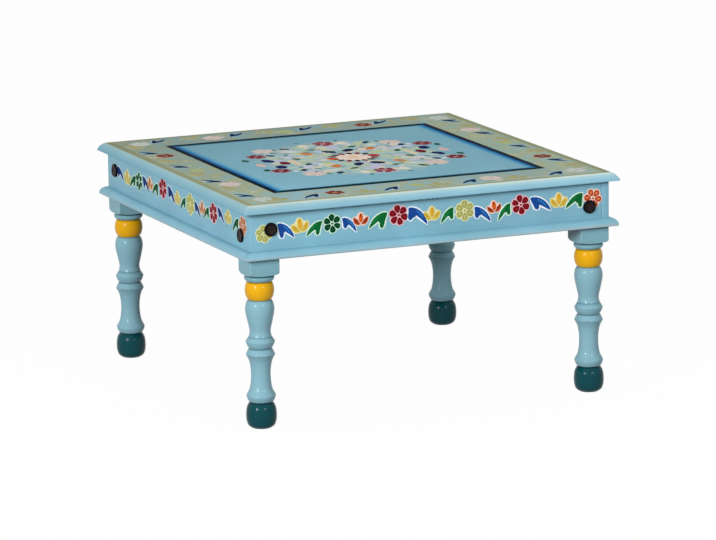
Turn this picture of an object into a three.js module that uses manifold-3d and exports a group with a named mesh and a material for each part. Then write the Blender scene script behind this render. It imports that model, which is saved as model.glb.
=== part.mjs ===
// A bajot: a low square table, with a painted top, four apron boards and four turned legs.
// Millimetres, +Z up. The origin is on the floor under the middle of the top, and the
// front faces -Y. The table repeats itself every quarter turn, so one side and one corner
// are drawn at the front and turned into the other three places.

import * as THREE from "three";
import { mergeVertices } from "three/addons/utils/BufferGeometryUtils.js";
import Module from "manifold-3d";

const wasm = await Module();
wasm.setup();

// The whole table
const TABLE_WIDTH = 600;
const TABLE_HEIGHT = 333;
const SIDES = ["front", "right", "back", "left"];
const CORNERS = ["front_left", "front_right", "back_right", "back_left"];

// Fits
const JOINT_GAP = 0.3;
const CUT_OVERRUN = 2;

// The top board, with a rounded edge on all four sides
const TOP_THICKNESS = 12;
const TOP_OVERHANG = 13;
const TOP_EDGE_RUN = 10;
const TOP_EDGE_FALL_SHARE = 0.92;
const TOP_EDGE_BEND_SHARES = [0.65, 0.25];
const TOP_EDGE_STEPS = 6;

// The apron boards under the top
const APRON_HEIGHT = 68;
const APRON_THICKNESS = 12;

// The quarter-round moulding along the foot of each apron board
const MOULDING_DEPTH = 11;
const MOULDING_HEIGHT = 11;
const MOULDING_STEPS = 6;

// The legs: a square block with a rebated post above it, and a turned stretch below
const LEG_BLOCK_WIDTH = 46;
const LEG_BLOCK_HEIGHT = 25.5;
const LEG_BLOCK_CHAMFER = 2.5;
const LEG_SHOULDER_RISE = 5;
const LEG_SHOULDER_STEPS = 4;
const LEG_FACETS = 16;
const LEG_STEPS_PER_SPAN = 2;

// The turned stretch from the floor up, one list for each turned form. Each point is a
// radius, as a share of half the block's width, and a height, as a share of the stretch.
// The lathe cuts a smooth curve through each list, and a sharp edge where two lists meet.
const LEG_TURNING_SHARES = [
  [[0.64, 0], [0.91, 0.034], [1, 0.09], [0.93, 0.137], [0.76, 0.166]],
  [[0.76, 0.166], [0.89, 0.189], [0.955, 0.211]],
  [[0.955, 0.211], [0.76, 0.243], [0.66, 0.298], [0.64, 0.37], [0.75, 0.434], [0.945, 0.477]],
  [[0.945, 0.477], [0.85, 0.5], [0.73, 0.519]],
  [[0.73, 0.519], [0.87, 0.541], [0.945, 0.563]],
  [[0.945, 0.563], [0.86, 0.578], [0.74, 0.594]],
  [[0.74, 0.594], [0.675, 0.633], [0.82, 0.697], [0.95, 0.765], [0.89, 0.811], [0.75, 0.836]],
  [[0.75, 0.836], [0.9, 0.86], [0.975, 0.893], [0.92, 0.924], [0.8, 0.944]],
  [[0.8, 0.944], [0.89, 0.958], [0.99, 0.974], [0.99, 1]],
];

// The bolts through apron and post, two at each corner, at staggered heights
const BOLT_DIAMETER = 6;
const BOLT_CLEARANCE = 0.5;
const BOLT_HEAD_DIAMETER = 20;
const BOLT_HEAD_THICKNESS = 3;
const BOLT_HEAD_BEVEL = 0.8;
const BOLT_DISH_DIAMETER = 15;
const BOLT_DISH_DEPTH = 0.8;
const BOLT_NECK_WIDTH = 7;
const BOLT_NECK_LENGTH = 3;
const BOLT_TIP = 3;
const BOLT_STAGGER = 11.6;
const BOLT_LIFT_SHARE = 0.041;
const BOLT_ACROSS_POST_SHARE = 0.602;
const BOLT_FACETS = 20;
const HOLE_FACETS = 12;

// The washer and nut that draw each bolt tight against the post's inner face
const WASHER_DIAMETER = 18;
const WASHER_THICKNESS = 1.5;
const NUT_ACROSS_FLATS = 10;
const NUT_THICKNESS = 5;
const NUT_SIDES = 6;

// The cleats inside the apron and the battens across, which hold the top down and flat
const CLEAT_WIDTH = 15;
const CLEAT_HEIGHT = 15;
const SPANNER_ROOM = 12;
const BATTEN_WIDTH = 40;
const BATTEN_SPACING = 190;
const BATTEN_NAMES = ["left", "right"];

// The countersunk wood screws, driven up into the top
const SCREW_DIAMETER = 3.5;
const SCREW_HEAD_DIAMETER = 7;
const SCREW_HEAD_DEPTH = 2.5;
const SCREW_POINT = 4;
const SCREW_BITE_SHARE = 0.66;
const SCREW_PLACE_SHARES = [-0.62, 0.62];
const SCREW_FACETS = 8;

// Levels, from the floor
const TOP_UNDERSIDE = TABLE_HEIGHT - TOP_THICKNESS;
const APRON_TOP = TOP_UNDERSIDE - JOINT_GAP;
const APRON_FOOT = APRON_TOP - APRON_HEIGHT;
const APRON_MIDDLE = (APRON_TOP + APRON_FOOT) / 2;
const LEG_SHOULDER = APRON_FOOT - JOINT_GAP;
const TURNED_HEIGHT = LEG_SHOULDER - LEG_BLOCK_HEIGHT;
const CLEAT_UNDERSIDE = APRON_TOP - CLEAT_HEIGHT;
const BOLT_MIDDLE = APRON_MIDDLE + APRON_HEIGHT * BOLT_LIFT_SHARE;
const UPPER_BOLT_LEVEL = BOLT_MIDDLE + BOLT_STAGGER / 2;
const LOWER_BOLT_LEVEL = BOLT_MIDDLE - BOLT_STAGGER / 2;

// Distances from the middle of the table
const APRON_OUTER = TABLE_WIDTH / 2 - TOP_OVERHANG;
const APRON_INNER = APRON_OUTER - APRON_THICKNESS;
const LEG_AXIS = APRON_OUTER - LEG_BLOCK_WIDTH / 2;
const POST_OUTER = APRON_INNER - JOINT_GAP;
const POST_INNER = APRON_OUTER - LEG_BLOCK_WIDTH;
const POST_WIDTH = POST_OUTER - POST_INNER;
const BOLT_LINE = POST_OUTER - POST_WIDTH * BOLT_ACROSS_POST_SHARE;
const WASHER_SEAT = POST_INNER - JOINT_GAP;
const NUT_SEAT = WASHER_SEAT - WASHER_THICKNESS - JOINT_GAP;
const BOLT_END = NUT_SEAT - NUT_THICKNESS - BOLT_TIP;
const CLEAT_END = BOLT_END - SPANNER_ROOM;
const CLEAT_OUTER = APRON_INNER - JOINT_GAP;
const CLEAT_INNER = CLEAT_OUTER - CLEAT_WIDTH;
const BATTEN_END = CLEAT_INNER - JOINT_GAP;

// Radii
const LEG_RADIUS = LEG_BLOCK_WIDTH / 2;
const BOLT_RADIUS = BOLT_DIAMETER / 2;
const BOLT_HOLE_RADIUS = BOLT_RADIUS + BOLT_CLEARANCE;
const SCREW_RADIUS = SCREW_DIAMETER / 2;
const SCREW_LENGTH = CLEAT_HEIGHT + JOINT_GAP + TOP_THICKNESS * SCREW_BITE_SHARE;

const QUARTER_TURN = Math.PI / 2;

const finishes = {
  aqua_paint: { color: 0x8fc3d0, roughness: 0.5, metalness: 0 },
  bare_wood: { color: 0xb98f62, roughness: 0.8, metalness: 0 },
  blackened_steel: { color: 0x29241e, roughness: 0.45, metalness: 0.6 },
  plated_steel: { color: 0xb9bcc0, roughness: 0.35, metalness: 0.9 },
};

// A closed geometry, with its shared vertices merged, as a solid that can be cut and joined
function solidOf(geometry) {
  geometry.deleteAttribute("normal");
  geometry.deleteAttribute("uv");
  const merged = mergeVertices(geometry);
  const corners = merged.index.array;
  const triangles = [];
  for (let i = 0; i < corners.length; i += 3) {
    const [a, b, c] = corners.slice(i, i + 3);
    if (a !== b && b !== c && c !== a) triangles.push(a, b, c);
  }
  const vertProperties = merged.attributes.position.array;
  const triVerts = Uint32Array.from(triangles);
  return new wasm.Manifold(new wasm.Mesh({ numProp: 3, vertProperties, triVerts }));
}

// One named piece in its finish, made from a solid
function piece(name, solid, finish) {
  const mesh = solid.getMesh();
  const geometry = new THREE.BufferGeometry();
  geometry.setAttribute("position", new THREE.BufferAttribute(mesh.vertProperties, 3));
  geometry.setIndex(new THREE.BufferAttribute(mesh.triVerts, 1));
  geometry.computeVertexNormals();
  const made = new THREE.Mesh(geometry, new THREE.MeshStandardMaterial(finishes[finish]));
  made.name = name;
  return made;
}

// A box between two opposite corners
function boxBetween(low, high) {
  const size = high.clone().sub(low);
  const middle = high.clone().add(low).multiplyScalar(1 / 2);
  const geometry = new THREE.BoxGeometry(size.x, size.y, size.z);
  return solidOf(geometry.translate(middle.x, middle.y, middle.z));
}

// A turned solid about Z, from a profile of radii and heights that rises from the floor
function turnedAboutZ(profile, facets) {
  return solidOf(new THREE.LatheGeometry(profile, facets).rotateX(QUARTER_TURN));
}

// A turned solid about Y, from a profile of radii and of distances along Y that grow
function turnedAboutY(profile, facets) {
  return solidOf(new THREE.LatheGeometry(profile, facets));
}

// A straight hole along Y, from one place to another
function holeAlongY(x, z, radius, from, to) {
  const middle = (from + to) / 2;
  const geometry = new THREE.CylinderGeometry(radius, radius, to - from, HOLE_FACETS);
  return solidOf(geometry.translate(x, middle, z));
}

// The same kind of hole along X
function holeAlongX(y, z, radius, from, to) {
  const middle = (from + to) / 2;
  const geometry = new THREE.CylinderGeometry(radius, radius, to - from, HOLE_FACETS);
  return solidOf(geometry.rotateZ(QUARTER_TURN).translate(middle, y, z));
}

// A wood screw with its head down and its point up. A clearance turns it into its hole.
function screwBody(clearance) {
  const mouth = clearance > 0 ? CUT_OVERRUN : 0;
  const head = SCREW_HEAD_DIAMETER / 2 + clearance;
  const shank = SCREW_RADIUS + clearance;
  const profile = [
    new THREE.Vector2(0, -mouth),
    new THREE.Vector2(head, -mouth),
    new THREE.Vector2(head, 0),
    new THREE.Vector2(shank, SCREW_HEAD_DEPTH),
    new THREE.Vector2(shank, SCREW_LENGTH - SCREW_POINT + clearance),
    new THREE.Vector2(0, SCREW_LENGTH + clearance),
  ];
  return turnedAboutZ(profile, SCREW_FACETS);
}

// Where the two screws of a side's cleat stand, with the side at the front
function cleatScrewPlaces() {
  const across = -(CLEAT_OUTER + CLEAT_INNER) / 2;
  return SCREW_PLACE_SHARES.map(
    (share) => new THREE.Vector3(share * CLEAT_END, across, CLEAT_UNDERSIDE),
  );
}

// Where the two screws of a batten stand
function battenScrewPlaces(battenX) {
  return SCREW_PLACE_SHARES.map(
    (share) => new THREE.Vector3(battenX, share * BATTEN_END, CLEAT_UNDERSIDE),
  );
}

function battenMiddle(number) {
  return (number - (BATTEN_NAMES.length - 1) / 2) * BATTEN_SPACING;
}

function screwHole(place) {
  return screwBody(JOINT_GAP).translate([place.x, place.y, place.z]);
}

// The top: a square board with a rounded edge that falls to a thin upright lip, and blind
// holes below for the screws. A lathe of four facets makes a square, whose corners lie
// further out than its sides by the root of two.
function topBoard() {
  const lip = TABLE_WIDTH / 2;
  const rim = lip - TOP_EDGE_RUN;
  const fall = TOP_THICKNESS * TOP_EDGE_FALL_SHARE;
  const bend = new THREE.Vector2(
    rim + TOP_EDGE_RUN * TOP_EDGE_BEND_SHARES[0],
    TABLE_HEIGHT - fall * TOP_EDGE_BEND_SHARES[1],
  );
  const edge = new THREE.QuadraticBezierCurve(
    new THREE.Vector2(lip, TABLE_HEIGHT - fall),
    bend,
    new THREE.Vector2(rim, TABLE_HEIGHT),
  ).getPoints(TOP_EDGE_STEPS);
  const profile = [
    new THREE.Vector2(0, TOP_UNDERSIDE),
    new THREE.Vector2(lip, TOP_UNDERSIDE),
    ...edge,
    new THREE.Vector2(0, TABLE_HEIGHT),
  ];
  for (const point of profile) point.x *= Math.SQRT2;
  const square = new THREE.LatheGeometry(profile, SIDES.length, QUARTER_TURN / 2);
  let board = solidOf(square.rotateX(QUARTER_TURN));
  for (const [turn] of SIDES.entries()) {
    const toSide = new THREE.Matrix4().makeRotationZ(turn * QUARTER_TURN);
    for (const place of cleatScrewPlaces()) {
      board = board.subtract(screwHole(place.applyMatrix4(toSide)));
    }
  }
  for (const [number] of BATTEN_NAMES.entries()) {
    for (const place of battenScrewPlaces(battenMiddle(number))) {
      board = board.subtract(screwHole(place));
    }
  }
  return piece("top_board", board, "aqua_paint");
}

// An apron board. Its left end runs out to the corner and covers the next board's end, and
// its right end butts against the inside of the board round the other corner. Each bolt
// hole starts square, for the bolt's neck.
function apron(side) {
  let board = boxBetween(
    new THREE.Vector3(-APRON_OUTER, -APRON_OUTER, APRON_FOOT),
    new THREE.Vector3(APRON_INNER - JOINT_GAP, -APRON_INNER, APRON_TOP),
  );
  const neck = BOLT_NECK_WIDTH / 2 + JOINT_GAP;
  const outside = -APRON_OUTER - CUT_OVERRUN;
  const neckEnd = -APRON_OUTER + BOLT_NECK_LENGTH + JOINT_GAP;
  const places = [[-BOLT_LINE, UPPER_BOLT_LEVEL], [BOLT_LINE, LOWER_BOLT_LEVEL]];
  for (const [x, z] of places) {
    const inside = -APRON_INNER + CUT_OVERRUN;
    const pocket = boxBetween(
      new THREE.Vector3(x - neck, outside, z - neck),
      new THREE.Vector3(x + neck, neckEnd, z + neck),
    );
    board = board.subtract(pocket);
    board = board.subtract(holeAlongY(x, z, BOLT_HOLE_RADIUS, outside, inside));
  }
  return piece(`apron_${side}`, board, "aqua_paint");
}

// A quarter-round strip along the foot of the apron, mitred at both ends: the further out
// a point of its section lies, the further along the strip it reaches
function moulding(side) {
  const section = new THREE.Shape();
  section.moveTo(0, 0);
  section.lineTo(MOULDING_DEPTH, 0);
  for (let step = 1; step <= MOULDING_STEPS; step += 1) {
    const angle = (QUARTER_TURN * step) / MOULDING_STEPS;
    section.lineTo(MOULDING_DEPTH * Math.cos(angle), MOULDING_HEIGHT * Math.sin(angle));
  }
  const strip = new THREE.ExtrudeGeometry(section, { depth: 1, bevelEnabled: false });
  const inner = APRON_OUTER + JOINT_GAP;
  const mitreGap = JOINT_GAP / Math.SQRT2;
  const points = strip.attributes.position;
  for (let i = 0; i < points.count; i += 1) {
    const out = inner + points.getX(i);
    const end = points.getZ(i) > 0 ? -1 : 1;
    points.setXYZ(i, end * (out - mitreGap), -out, APRON_FOOT + points.getY(i));
  }
  return piece(`moulding_${side}`, solidOf(strip), "aqua_paint");
}

// The turned stretch of a leg, from the floor to the foot of the block
function legTurning() {
  const profile = [new THREE.Vector2(0, 0)];
  for (const form of LEG_TURNING_SHARES) {
    const knots = form.map(
      ([radius, height]) => new THREE.Vector2(radius * LEG_RADIUS, height * TURNED_HEIGHT),
    );
    const steps = LEG_STEPS_PER_SPAN * (knots.length - 1);
    const curve = new THREE.SplineCurve(knots).getPoints(steps);
    profile.push(...(profile.length > 1 ? curve.slice(1) : curve));
  }
  profile.push(new THREE.Vector2(0, TURNED_HEIGHT));
  return turnedAboutZ(profile, LEG_FACETS);
}

// The square block above it, with chamfered edges, and lower corners that the lathe rounds
function legBlock() {
  const half = LEG_RADIUS;
  const flat = half - LEG_BLOCK_CHAMFER;
  const section = new THREE.Shape();
  section.moveTo(half, -flat);
  section.lineTo(half, flat);
  section.lineTo(flat, half);
  section.lineTo(-flat, half);
  section.lineTo(-half, flat);
  section.lineTo(-half, -flat);
  section.lineTo(-flat, -half);
  section.lineTo(flat, -half);
  const prism = new THREE.ExtrudeGeometry(section, { depth: LEG_BLOCK_HEIGHT, bevelEnabled: false });
  const reach = half * Math.SQRT2;
  const profile = [new THREE.Vector2(0, TURNED_HEIGHT)];
  for (let step = 0; step <= LEG_SHOULDER_STEPS; step += 1) {
    const angle = (QUARTER_TURN * step) / LEG_SHOULDER_STEPS;
    const radius = half + (reach - half) * Math.sin(angle);
    const height = TURNED_HEIGHT + LEG_SHOULDER_RISE * (1 - Math.cos(angle));
    profile.push(new THREE.Vector2(radius, height));
  }
  profile.push(new THREE.Vector2(reach, LEG_SHOULDER + CUT_OVERRUN));
  profile.push(new THREE.Vector2(0, LEG_SHOULDER + CUT_OVERRUN));
  const rounded = turnedAboutZ(profile, LEG_FACETS);
  return solidOf(prism.translate(0, 0, TURNED_HEIGHT)).intersect(rounded);
}

// A leg about its own axis, at the front left corner: the post is cut back on its two outer
// sides, so that the apron boards stand on the block's shoulder and hide it
function leg(corner) {
  const cutBack = APRON_OUTER - POST_OUTER;
  const post = boxBetween(
    new THREE.Vector3(cutBack - LEG_RADIUS, cutBack - LEG_RADIUS, TURNED_HEIGHT + LEG_SHOULDER_RISE),
    new THREE.Vector3(LEG_RADIUS, LEG_RADIUS, APRON_TOP),
  );
  const line = LEG_AXIS - BOLT_LINE;
  const reach = LEG_RADIUS + CUT_OVERRUN;
  const whole = legTurning()
    .add(legBlock())
    .add(post)
    .subtract(holeAlongY(line, UPPER_BOLT_LEVEL, BOLT_HOLE_RADIUS, -reach, reach))
    .subtract(holeAlongX(line, LOWER_BOLT_LEVEL, BOLT_HOLE_RADIUS, -reach, reach));
  const made = piece(`leg_${corner}`, whole, "aqua_paint");
  made.position.set(-LEG_AXIS, -LEG_AXIS, 0);
  return made;
}

// A bolt along +Y, measured from the apron's outer face: a flat head with a shallow dish, a
// square neck that keeps it from turning, and a shank through board, post, washer and nut
function boltBody() {
  const head = BOLT_HEAD_DIAMETER / 2;
  const dish = BOLT_DISH_DIAMETER / 2;
  const under = -JOINT_GAP;
  const crown = under - BOLT_HEAD_THICKNESS;
  const end = APRON_OUTER - BOLT_END;
  const profile = [
    new THREE.Vector2(0, crown + BOLT_DISH_DEPTH),
    new THREE.Vector2(dish - BOLT_DISH_DEPTH, crown + BOLT_DISH_DEPTH),
    new THREE.Vector2(dish, crown),
    new THREE.Vector2(head - BOLT_HEAD_BEVEL, crown),
    new THREE.Vector2(head, crown + BOLT_HEAD_BEVEL),
    new THREE.Vector2(head, under),
    new THREE.Vector2(BOLT_RADIUS, under),
    new THREE.Vector2(BOLT_RADIUS, end),
    new THREE.Vector2(0, end),
  ];
  const neck = BOLT_NECK_WIDTH / 2;
  const square = boxBetween(
    new THREE.Vector3(-neck, under - JOINT_GAP, -neck),
    new THREE.Vector3(neck, BOLT_NECK_LENGTH, neck),
  );
  return turnedAboutY(profile, BOLT_FACETS).add(square);
}

// A flat ring along +Y
function washerBody() {
  const outer = WASHER_DIAMETER / 2;
  const bore = BOLT_HOLE_RADIUS;
  const profile = [
    new THREE.Vector2(bore, 0),
    new THREE.Vector2(outer, 0),
    new THREE.Vector2(outer, WASHER_THICKNESS),
    new THREE.Vector2(bore, WASHER_THICKNESS),
    new THREE.Vector2(bore, 0),
  ];
  return turnedAboutY(profile, HOLE_FACETS);
}

// A hexagonal nut along +Y, bored clear of the shank
function nutBody() {
  const reach = NUT_ACROSS_FLATS / 2 / Math.cos(Math.PI / NUT_SIDES);
  const hexagon = new THREE.CylinderGeometry(reach, reach, NUT_THICKNESS, NUT_SIDES);
  const solid = solidOf(hexagon.translate(0, NUT_THICKNESS / 2, 0));
  const bore = BOLT_RADIUS + JOINT_GAP;
  return solid.subtract(holeAlongY(0, 0, bore, -CUT_OVERRUN, NUT_THICKNESS + CUT_OVERRUN));
}

// The bolt, washer and nut of one hole. The upper set runs in from the front board, and
// the lower one from the board round the corner.
function boltSet(corner, level) {
  const upper = level === "upper";
  const height = upper ? UPPER_BOLT_LEVEL : LOWER_BOLT_LEVEL;
  const set = [
    [piece(`bolt_${corner}_${level}`, boltBody(), "blackened_steel"), APRON_OUTER],
    [piece(`washer_${corner}_${level}`, washerBody(), "plated_steel"), WASHER_SEAT],
    [piece(`nut_${corner}_${level}`, nutBody(), "plated_steel"), NUT_SEAT],
  ];
  return set.map(([made, depth]) => {
    if (upper) made.position.set(-BOLT_LINE, -depth, height);
    else made.position.set(-depth, -BOLT_LINE, height);
    made.rotation.z = upper ? 0 : -QUARTER_TURN;
    return made;
  });
}

// A strip inside the apron, just under the top, that stops short of the bolt ends
function cleat(side) {
  let strip = boxBetween(
    new THREE.Vector3(-CLEAT_END, -CLEAT_OUTER, CLEAT_UNDERSIDE),
    new THREE.Vector3(CLEAT_END, -CLEAT_INNER, APRON_TOP),
  );
  for (const place of cleatScrewPlaces()) strip = strip.subtract(screwHole(place));
  return piece(`cleat_${side}`, strip, "bare_wood");
}

// A flat bar from the front cleat to the back one
function batten(name, middle) {
  const half = BATTEN_WIDTH / 2;
  let bar = boxBetween(
    new THREE.Vector3(middle - half, -BATTEN_END, CLEAT_UNDERSIDE),
    new THREE.Vector3(middle + half, BATTEN_END, APRON_TOP),
  );
  for (const place of battenScrewPlaces(middle)) bar = bar.subtract(screwHole(place));
  return piece(`batten_${name}`, bar, "bare_wood");
}

function screw(name, place) {
  const made = piece(name, screwBody(0), "plated_steel");
  made.position.copy(place);
  return made;
}

const table = new THREE.Group();
table.add(topBoard());

for (const [turn, side] of SIDES.entries()) {
  const corner = CORNERS[turn];
  const quarter = new THREE.Group();
  quarter.rotation.z = turn * QUARTER_TURN;
  quarter.add(apron(side), moulding(side), cleat(side), leg(corner));
  quarter.add(...boltSet(corner, "upper"), ...boltSet(corner, "lower"));
  for (const [number, place] of cleatScrewPlaces().entries()) {
    quarter.add(screw(`cleat_screw_${side}_${number + 1}`, place));
  }
  table.add(quarter);
}

for (const [number, name] of BATTEN_NAMES.entries()) {
  const middle = battenMiddle(number);
  table.add(batten(name, middle));
  for (const [count, place] of battenScrewPlaces(middle).entries()) {
    table.add(screw(`batten_screw_${name}_${count + 1}`, place));
  }
}

export default table;
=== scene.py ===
# %% [markdown]
# # A painted bajot
# A bajot is a low table that is sat at from the floor. This one has a square top, four apron
# boards, turned legs that are bolted on, and flowers painted by hand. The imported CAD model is
# loaded first, as a fixed frame: it says where every piece goes, and each new piece is drawn
# in the same coordinates, so nothing has to be fitted afterwards.

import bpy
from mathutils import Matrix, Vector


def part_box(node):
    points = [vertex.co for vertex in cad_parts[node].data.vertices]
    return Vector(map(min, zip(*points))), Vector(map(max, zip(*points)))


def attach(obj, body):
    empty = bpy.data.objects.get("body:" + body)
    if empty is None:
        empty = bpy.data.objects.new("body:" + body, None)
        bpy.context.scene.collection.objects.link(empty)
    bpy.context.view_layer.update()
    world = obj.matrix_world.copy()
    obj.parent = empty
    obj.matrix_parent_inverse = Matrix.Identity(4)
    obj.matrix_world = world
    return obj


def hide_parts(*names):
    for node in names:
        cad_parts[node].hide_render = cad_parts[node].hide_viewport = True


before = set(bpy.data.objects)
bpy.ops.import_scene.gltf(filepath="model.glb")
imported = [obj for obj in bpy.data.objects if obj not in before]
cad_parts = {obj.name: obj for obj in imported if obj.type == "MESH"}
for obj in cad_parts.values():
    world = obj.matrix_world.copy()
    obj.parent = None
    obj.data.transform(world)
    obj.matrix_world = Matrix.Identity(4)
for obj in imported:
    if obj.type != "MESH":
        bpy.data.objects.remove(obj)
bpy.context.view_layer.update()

# %% The other modules
import math
from functools import partial

import bpy
import numpy as np
from mathutils import Matrix, Vector

# %% [markdown]
# ## Real sizes
# All sizes are in metres, written as millimetres times MM. The boards' places are read from
# the frame. Only what a box can't tell, such as the curve of an edge, is given here again.

# %% Sizes and levels
MM = 0.001
SIDES = ["front", "right", "back", "left"]
CORNERS = ["front_left", "front_right", "back_right", "back_left"]

APRON_LOW, APRON_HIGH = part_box("apron_front")
TOP_LOW, TOP_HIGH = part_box("top_board")
MOULDING_LOW, MOULDING_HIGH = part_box("moulding_front")
APRON_FACE = -APRON_LOW.y
TOP_LEVEL = TOP_HIGH.z
LIP = TOP_HIGH.x
GLUE_GAP = 0.3 * MM  # between two boards that are glued together
BOARD_THICKNESS = 12 * MM
print("top", round(LIP * 2, 3), "wide at", round(TOP_LEVEL, 3), "apron face", round(APRON_FACE, 3))

# %% [markdown]
# ## Drawing surfaces
# Nearly every piece here is a stack of closed rings: a turned leg, a board, a moulding and
# even one stroke of a brush. A ring is a row of points, and one function skins the whole
# stack with four-sided faces. A stack either ends in two flat caps or bites its own tail,
# as a washer does.

# %% A skin over a stack of rings
def skin(rings, tail=False):
    """Face (i, j) joins points j and j + 1 of ring i with the same two of ring i + 1. Several
    stacks at once, with one more axis in front, get the same faces and share one mesh."""
    rings = rings.reshape(-1, *rings.shape[-3:])
    stacks, rows, around = rings.shape[:3]
    index = np.arange(rows * around).reshape(rows, around)
    here, there = (index, np.roll(index, -1, 0)) if tail else (index[:-1], index[1:])
    quads = np.stack([here, np.roll(here, -1, 1), np.roll(there, -1, 1), there], -1)
    caps = [] if tail else [index[0][::-1].tolist(), index[-1].tolist()]
    faces = quads.reshape(-1, 4).tolist() + caps
    return rings.reshape(-1, 3), [
        [i + rows * around * n for i in face] for n in range(stacks) for face in faces]


def quarter_turned(points, turns):
    """(x, y) becomes (-y, x) once for each quarter turn, so nothing is rounded."""
    x, y, z = np.moveaxis(points, -1, 0)
    for _ in range(turns % 4):
        x, y = -y, x
    return np.stack([x, y, z], -1)


def put(name, data):
    """A new object, linked to the scene."""
    made = bpy.data.objects.new(name, data)
    bpy.context.scene.collection.objects.link(made)
    return made


def piece(name, rings, material, node=None, tail=False, crease=30):
    """One finished piece in its place, riding on the table's only body."""
    points, faces = skin(rings, tail)
    mesh = bpy.data.meshes.new(name)
    mesh.from_pydata(points.tolist(), [], faces)
    mesh.polygons.foreach_set("use_smooth", np.ones(len(mesh.polygons), bool))
    mesh.set_sharp_from_angle(angle=math.radians(crease))
    mesh.materials.append(material)
    made = put(name, mesh)
    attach(made, "root")
    if node:
        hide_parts(node)
    return made


def four_pieces(name, rings, finishes, node, places=SIDES):
    """The same piece four times, a quarter turn apart, in finishes that take turns."""
    for turn, place in enumerate(places):
        piece(f"{name}_{place}", quarter_turned(rings, turn), finishes[turn % len(finishes)],
              f"{node}_{place}")

# %% [markdown]
# ## Building materials
# Colours are written as they look on a screen, in sRGB hex, and one function turns them to
# the linear values that a shader computes with. One more function adds a node, with its
# settings, its socket values and its links. Nodes that compute take a plain list: Math takes
# its values, and Map Range takes the value, the range it comes from and the range it goes to.

# %% Colour and node helpers
MIX_A, MIX_B = 6, 7  # the two colour sockets of a Mix node
BLEND = {"data_type": "RGBA"}
TINT = {"data_type": "RGBA", "blend_type": "MULTIPLY"}


def linear(hex_colour):
    """sRGB to linear: c / 12.92 below 0.04045, and ((c + 0.055) / 1.055) ** 2.4 above."""
    c = np.array([int(hex_colour[i : i + 2], 16) for i in (1, 3, 5)]) / 255
    c = np.where(c <= 0.04045, c / 12.92, ((c + 0.055) / 1.055) ** 2.4)
    return (*c.tolist(), 1.0)


def add_node(tree, kind, sockets=(), stops=(), **settings):
    """Adds one node. Each socket takes a value or a link, by name or in the node's own order,
    and stops fill a colour ramp. Gives back the first output that is in use."""
    made = tree.nodes.new("ShaderNode" + kind)
    for key, value in settings.items():
        setattr(made, key, value)
    for key, value in sockets.items() if isinstance(sockets, dict) else enumerate(sockets):
        if isinstance(value, bpy.types.NodeSocket):
            tree.links.new(value, made.inputs[key])
        else:
            made.inputs[key].default_value = value
    for number, (place, colour) in enumerate(stops):
        elements = made.color_ramp.elements
        stop = elements[number] if number < 2 else elements.new(place)
        stop.position, stop.color = place, linear(colour)
    return next((socket for socket in made.outputs if socket.enabled), None)


def material(name, surface, *details):
    """A new material, with the shader that surface(add, *details) builds from its nodes, where
    add is add_node for this material's own tree."""
    made = bpy.data.materials.new(name)
    made.use_nodes = True
    made.node_tree.nodes.clear()
    add = partial(add_node, made.node_tree)
    add("OutputMaterial", {"Surface": surface(add, *details)})
    return made

# %% [markdown]
# ## The paint
# The wood is covered with satin oil enamel, put on with a flat brush. What tells it from
# plastic is the brush: long faint ridges along each board, a colour that is thicker here and
# thinner there, and a gloss that changes with it. A picture of brushed paint could be wrapped
# round each board, but noise needs no unwrapping and never repeats. Here one noise is
# stretched along the brush stroke, and another makes soft patches.

# %% The shared coat of enamel
STREAK_LENGTH = 160 * MM
STREAK_WIDTH = 2.6 * MM  # a real bristle mark is 0.5 mm, too fine to show at this size
PATCH_SIZE = 70 * MM
RIDGE_HEIGHT = 0.05 * MM
SATIN = (0.45, 0.15)  # roughness and specular level of the boards
RUBBED = (0.82, 0.03)  # the top, rubbed dull by years of use
MATT = (0.55, 0.04)  # the flowers, whose colour is strong with little oil
GLOSSY = (0.14, 0.11)  # the legs, which nobody touches


def coat_of_enamel(add, place, brush_along, colour, finish, depth=0.10):
    """Streaks and patches scale the colour by 1 plus or minus depth, and lift the surface."""
    roughness, specular = finish
    sizes = [STREAK_LENGTH if axis in brush_along else STREAK_WIDTH for axis in "xyz"]
    along = add("Mapping", {"Vector": place, "Scale": [1 / s for s in sizes]})
    streaks = add("TexNoise", {"Vector": along, "Scale": 1.0, "Detail": 4.0, "Roughness": 0.6})
    patches = add("TexNoise", {
        "Vector": place, "Scale": 1 / PATCH_SIZE, "Detail": 3.0, "Roughness": 0.5})
    both = add("Math", [streaks, 0.45, 0.0], operation="MULTIPLY_ADD")
    both = add("Math", [patches, 0.55, both], operation="MULTIPLY_ADD")
    shade = add("MapRange", [both, 0.3, 0.7, 1 - depth, 1 + depth])
    tone = add("Mix", {0: 1.0, MIX_A: colour, MIX_B: shade}, **TINT)
    gloss = add("MapRange", [patches, 0.3, 0.7, roughness - 0.05, roughness + 0.07])
    ridges = add("Bump", {"Height": streaks, "Strength": 1.0, "Distance": RIDGE_HEIGHT})
    return add("BsdfPrincipled", {
        "Base Color": tone, "Roughness": gloss, "Normal": ridges, "Specular IOR Level": specular})


def unsteady(add, place, value, size, sway):
    """What a hand does to a line: the value plus sway times (noise - 1/2)."""
    hand = add("TexNoise", {"Vector": place, "Scale": 1 / size})
    hand = add("Math", [hand, 0.5], operation="SUBTRACT")
    return add("Math", [hand, sway, value], operation="MULTIPLY_ADD")

# %% [markdown]
# The blue isn't one colour. Where the enamel is thin it is greener and duller, and where it
# is thick it is a fuller blue, so each board mixes two blues over patches of a hand's width.

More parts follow.
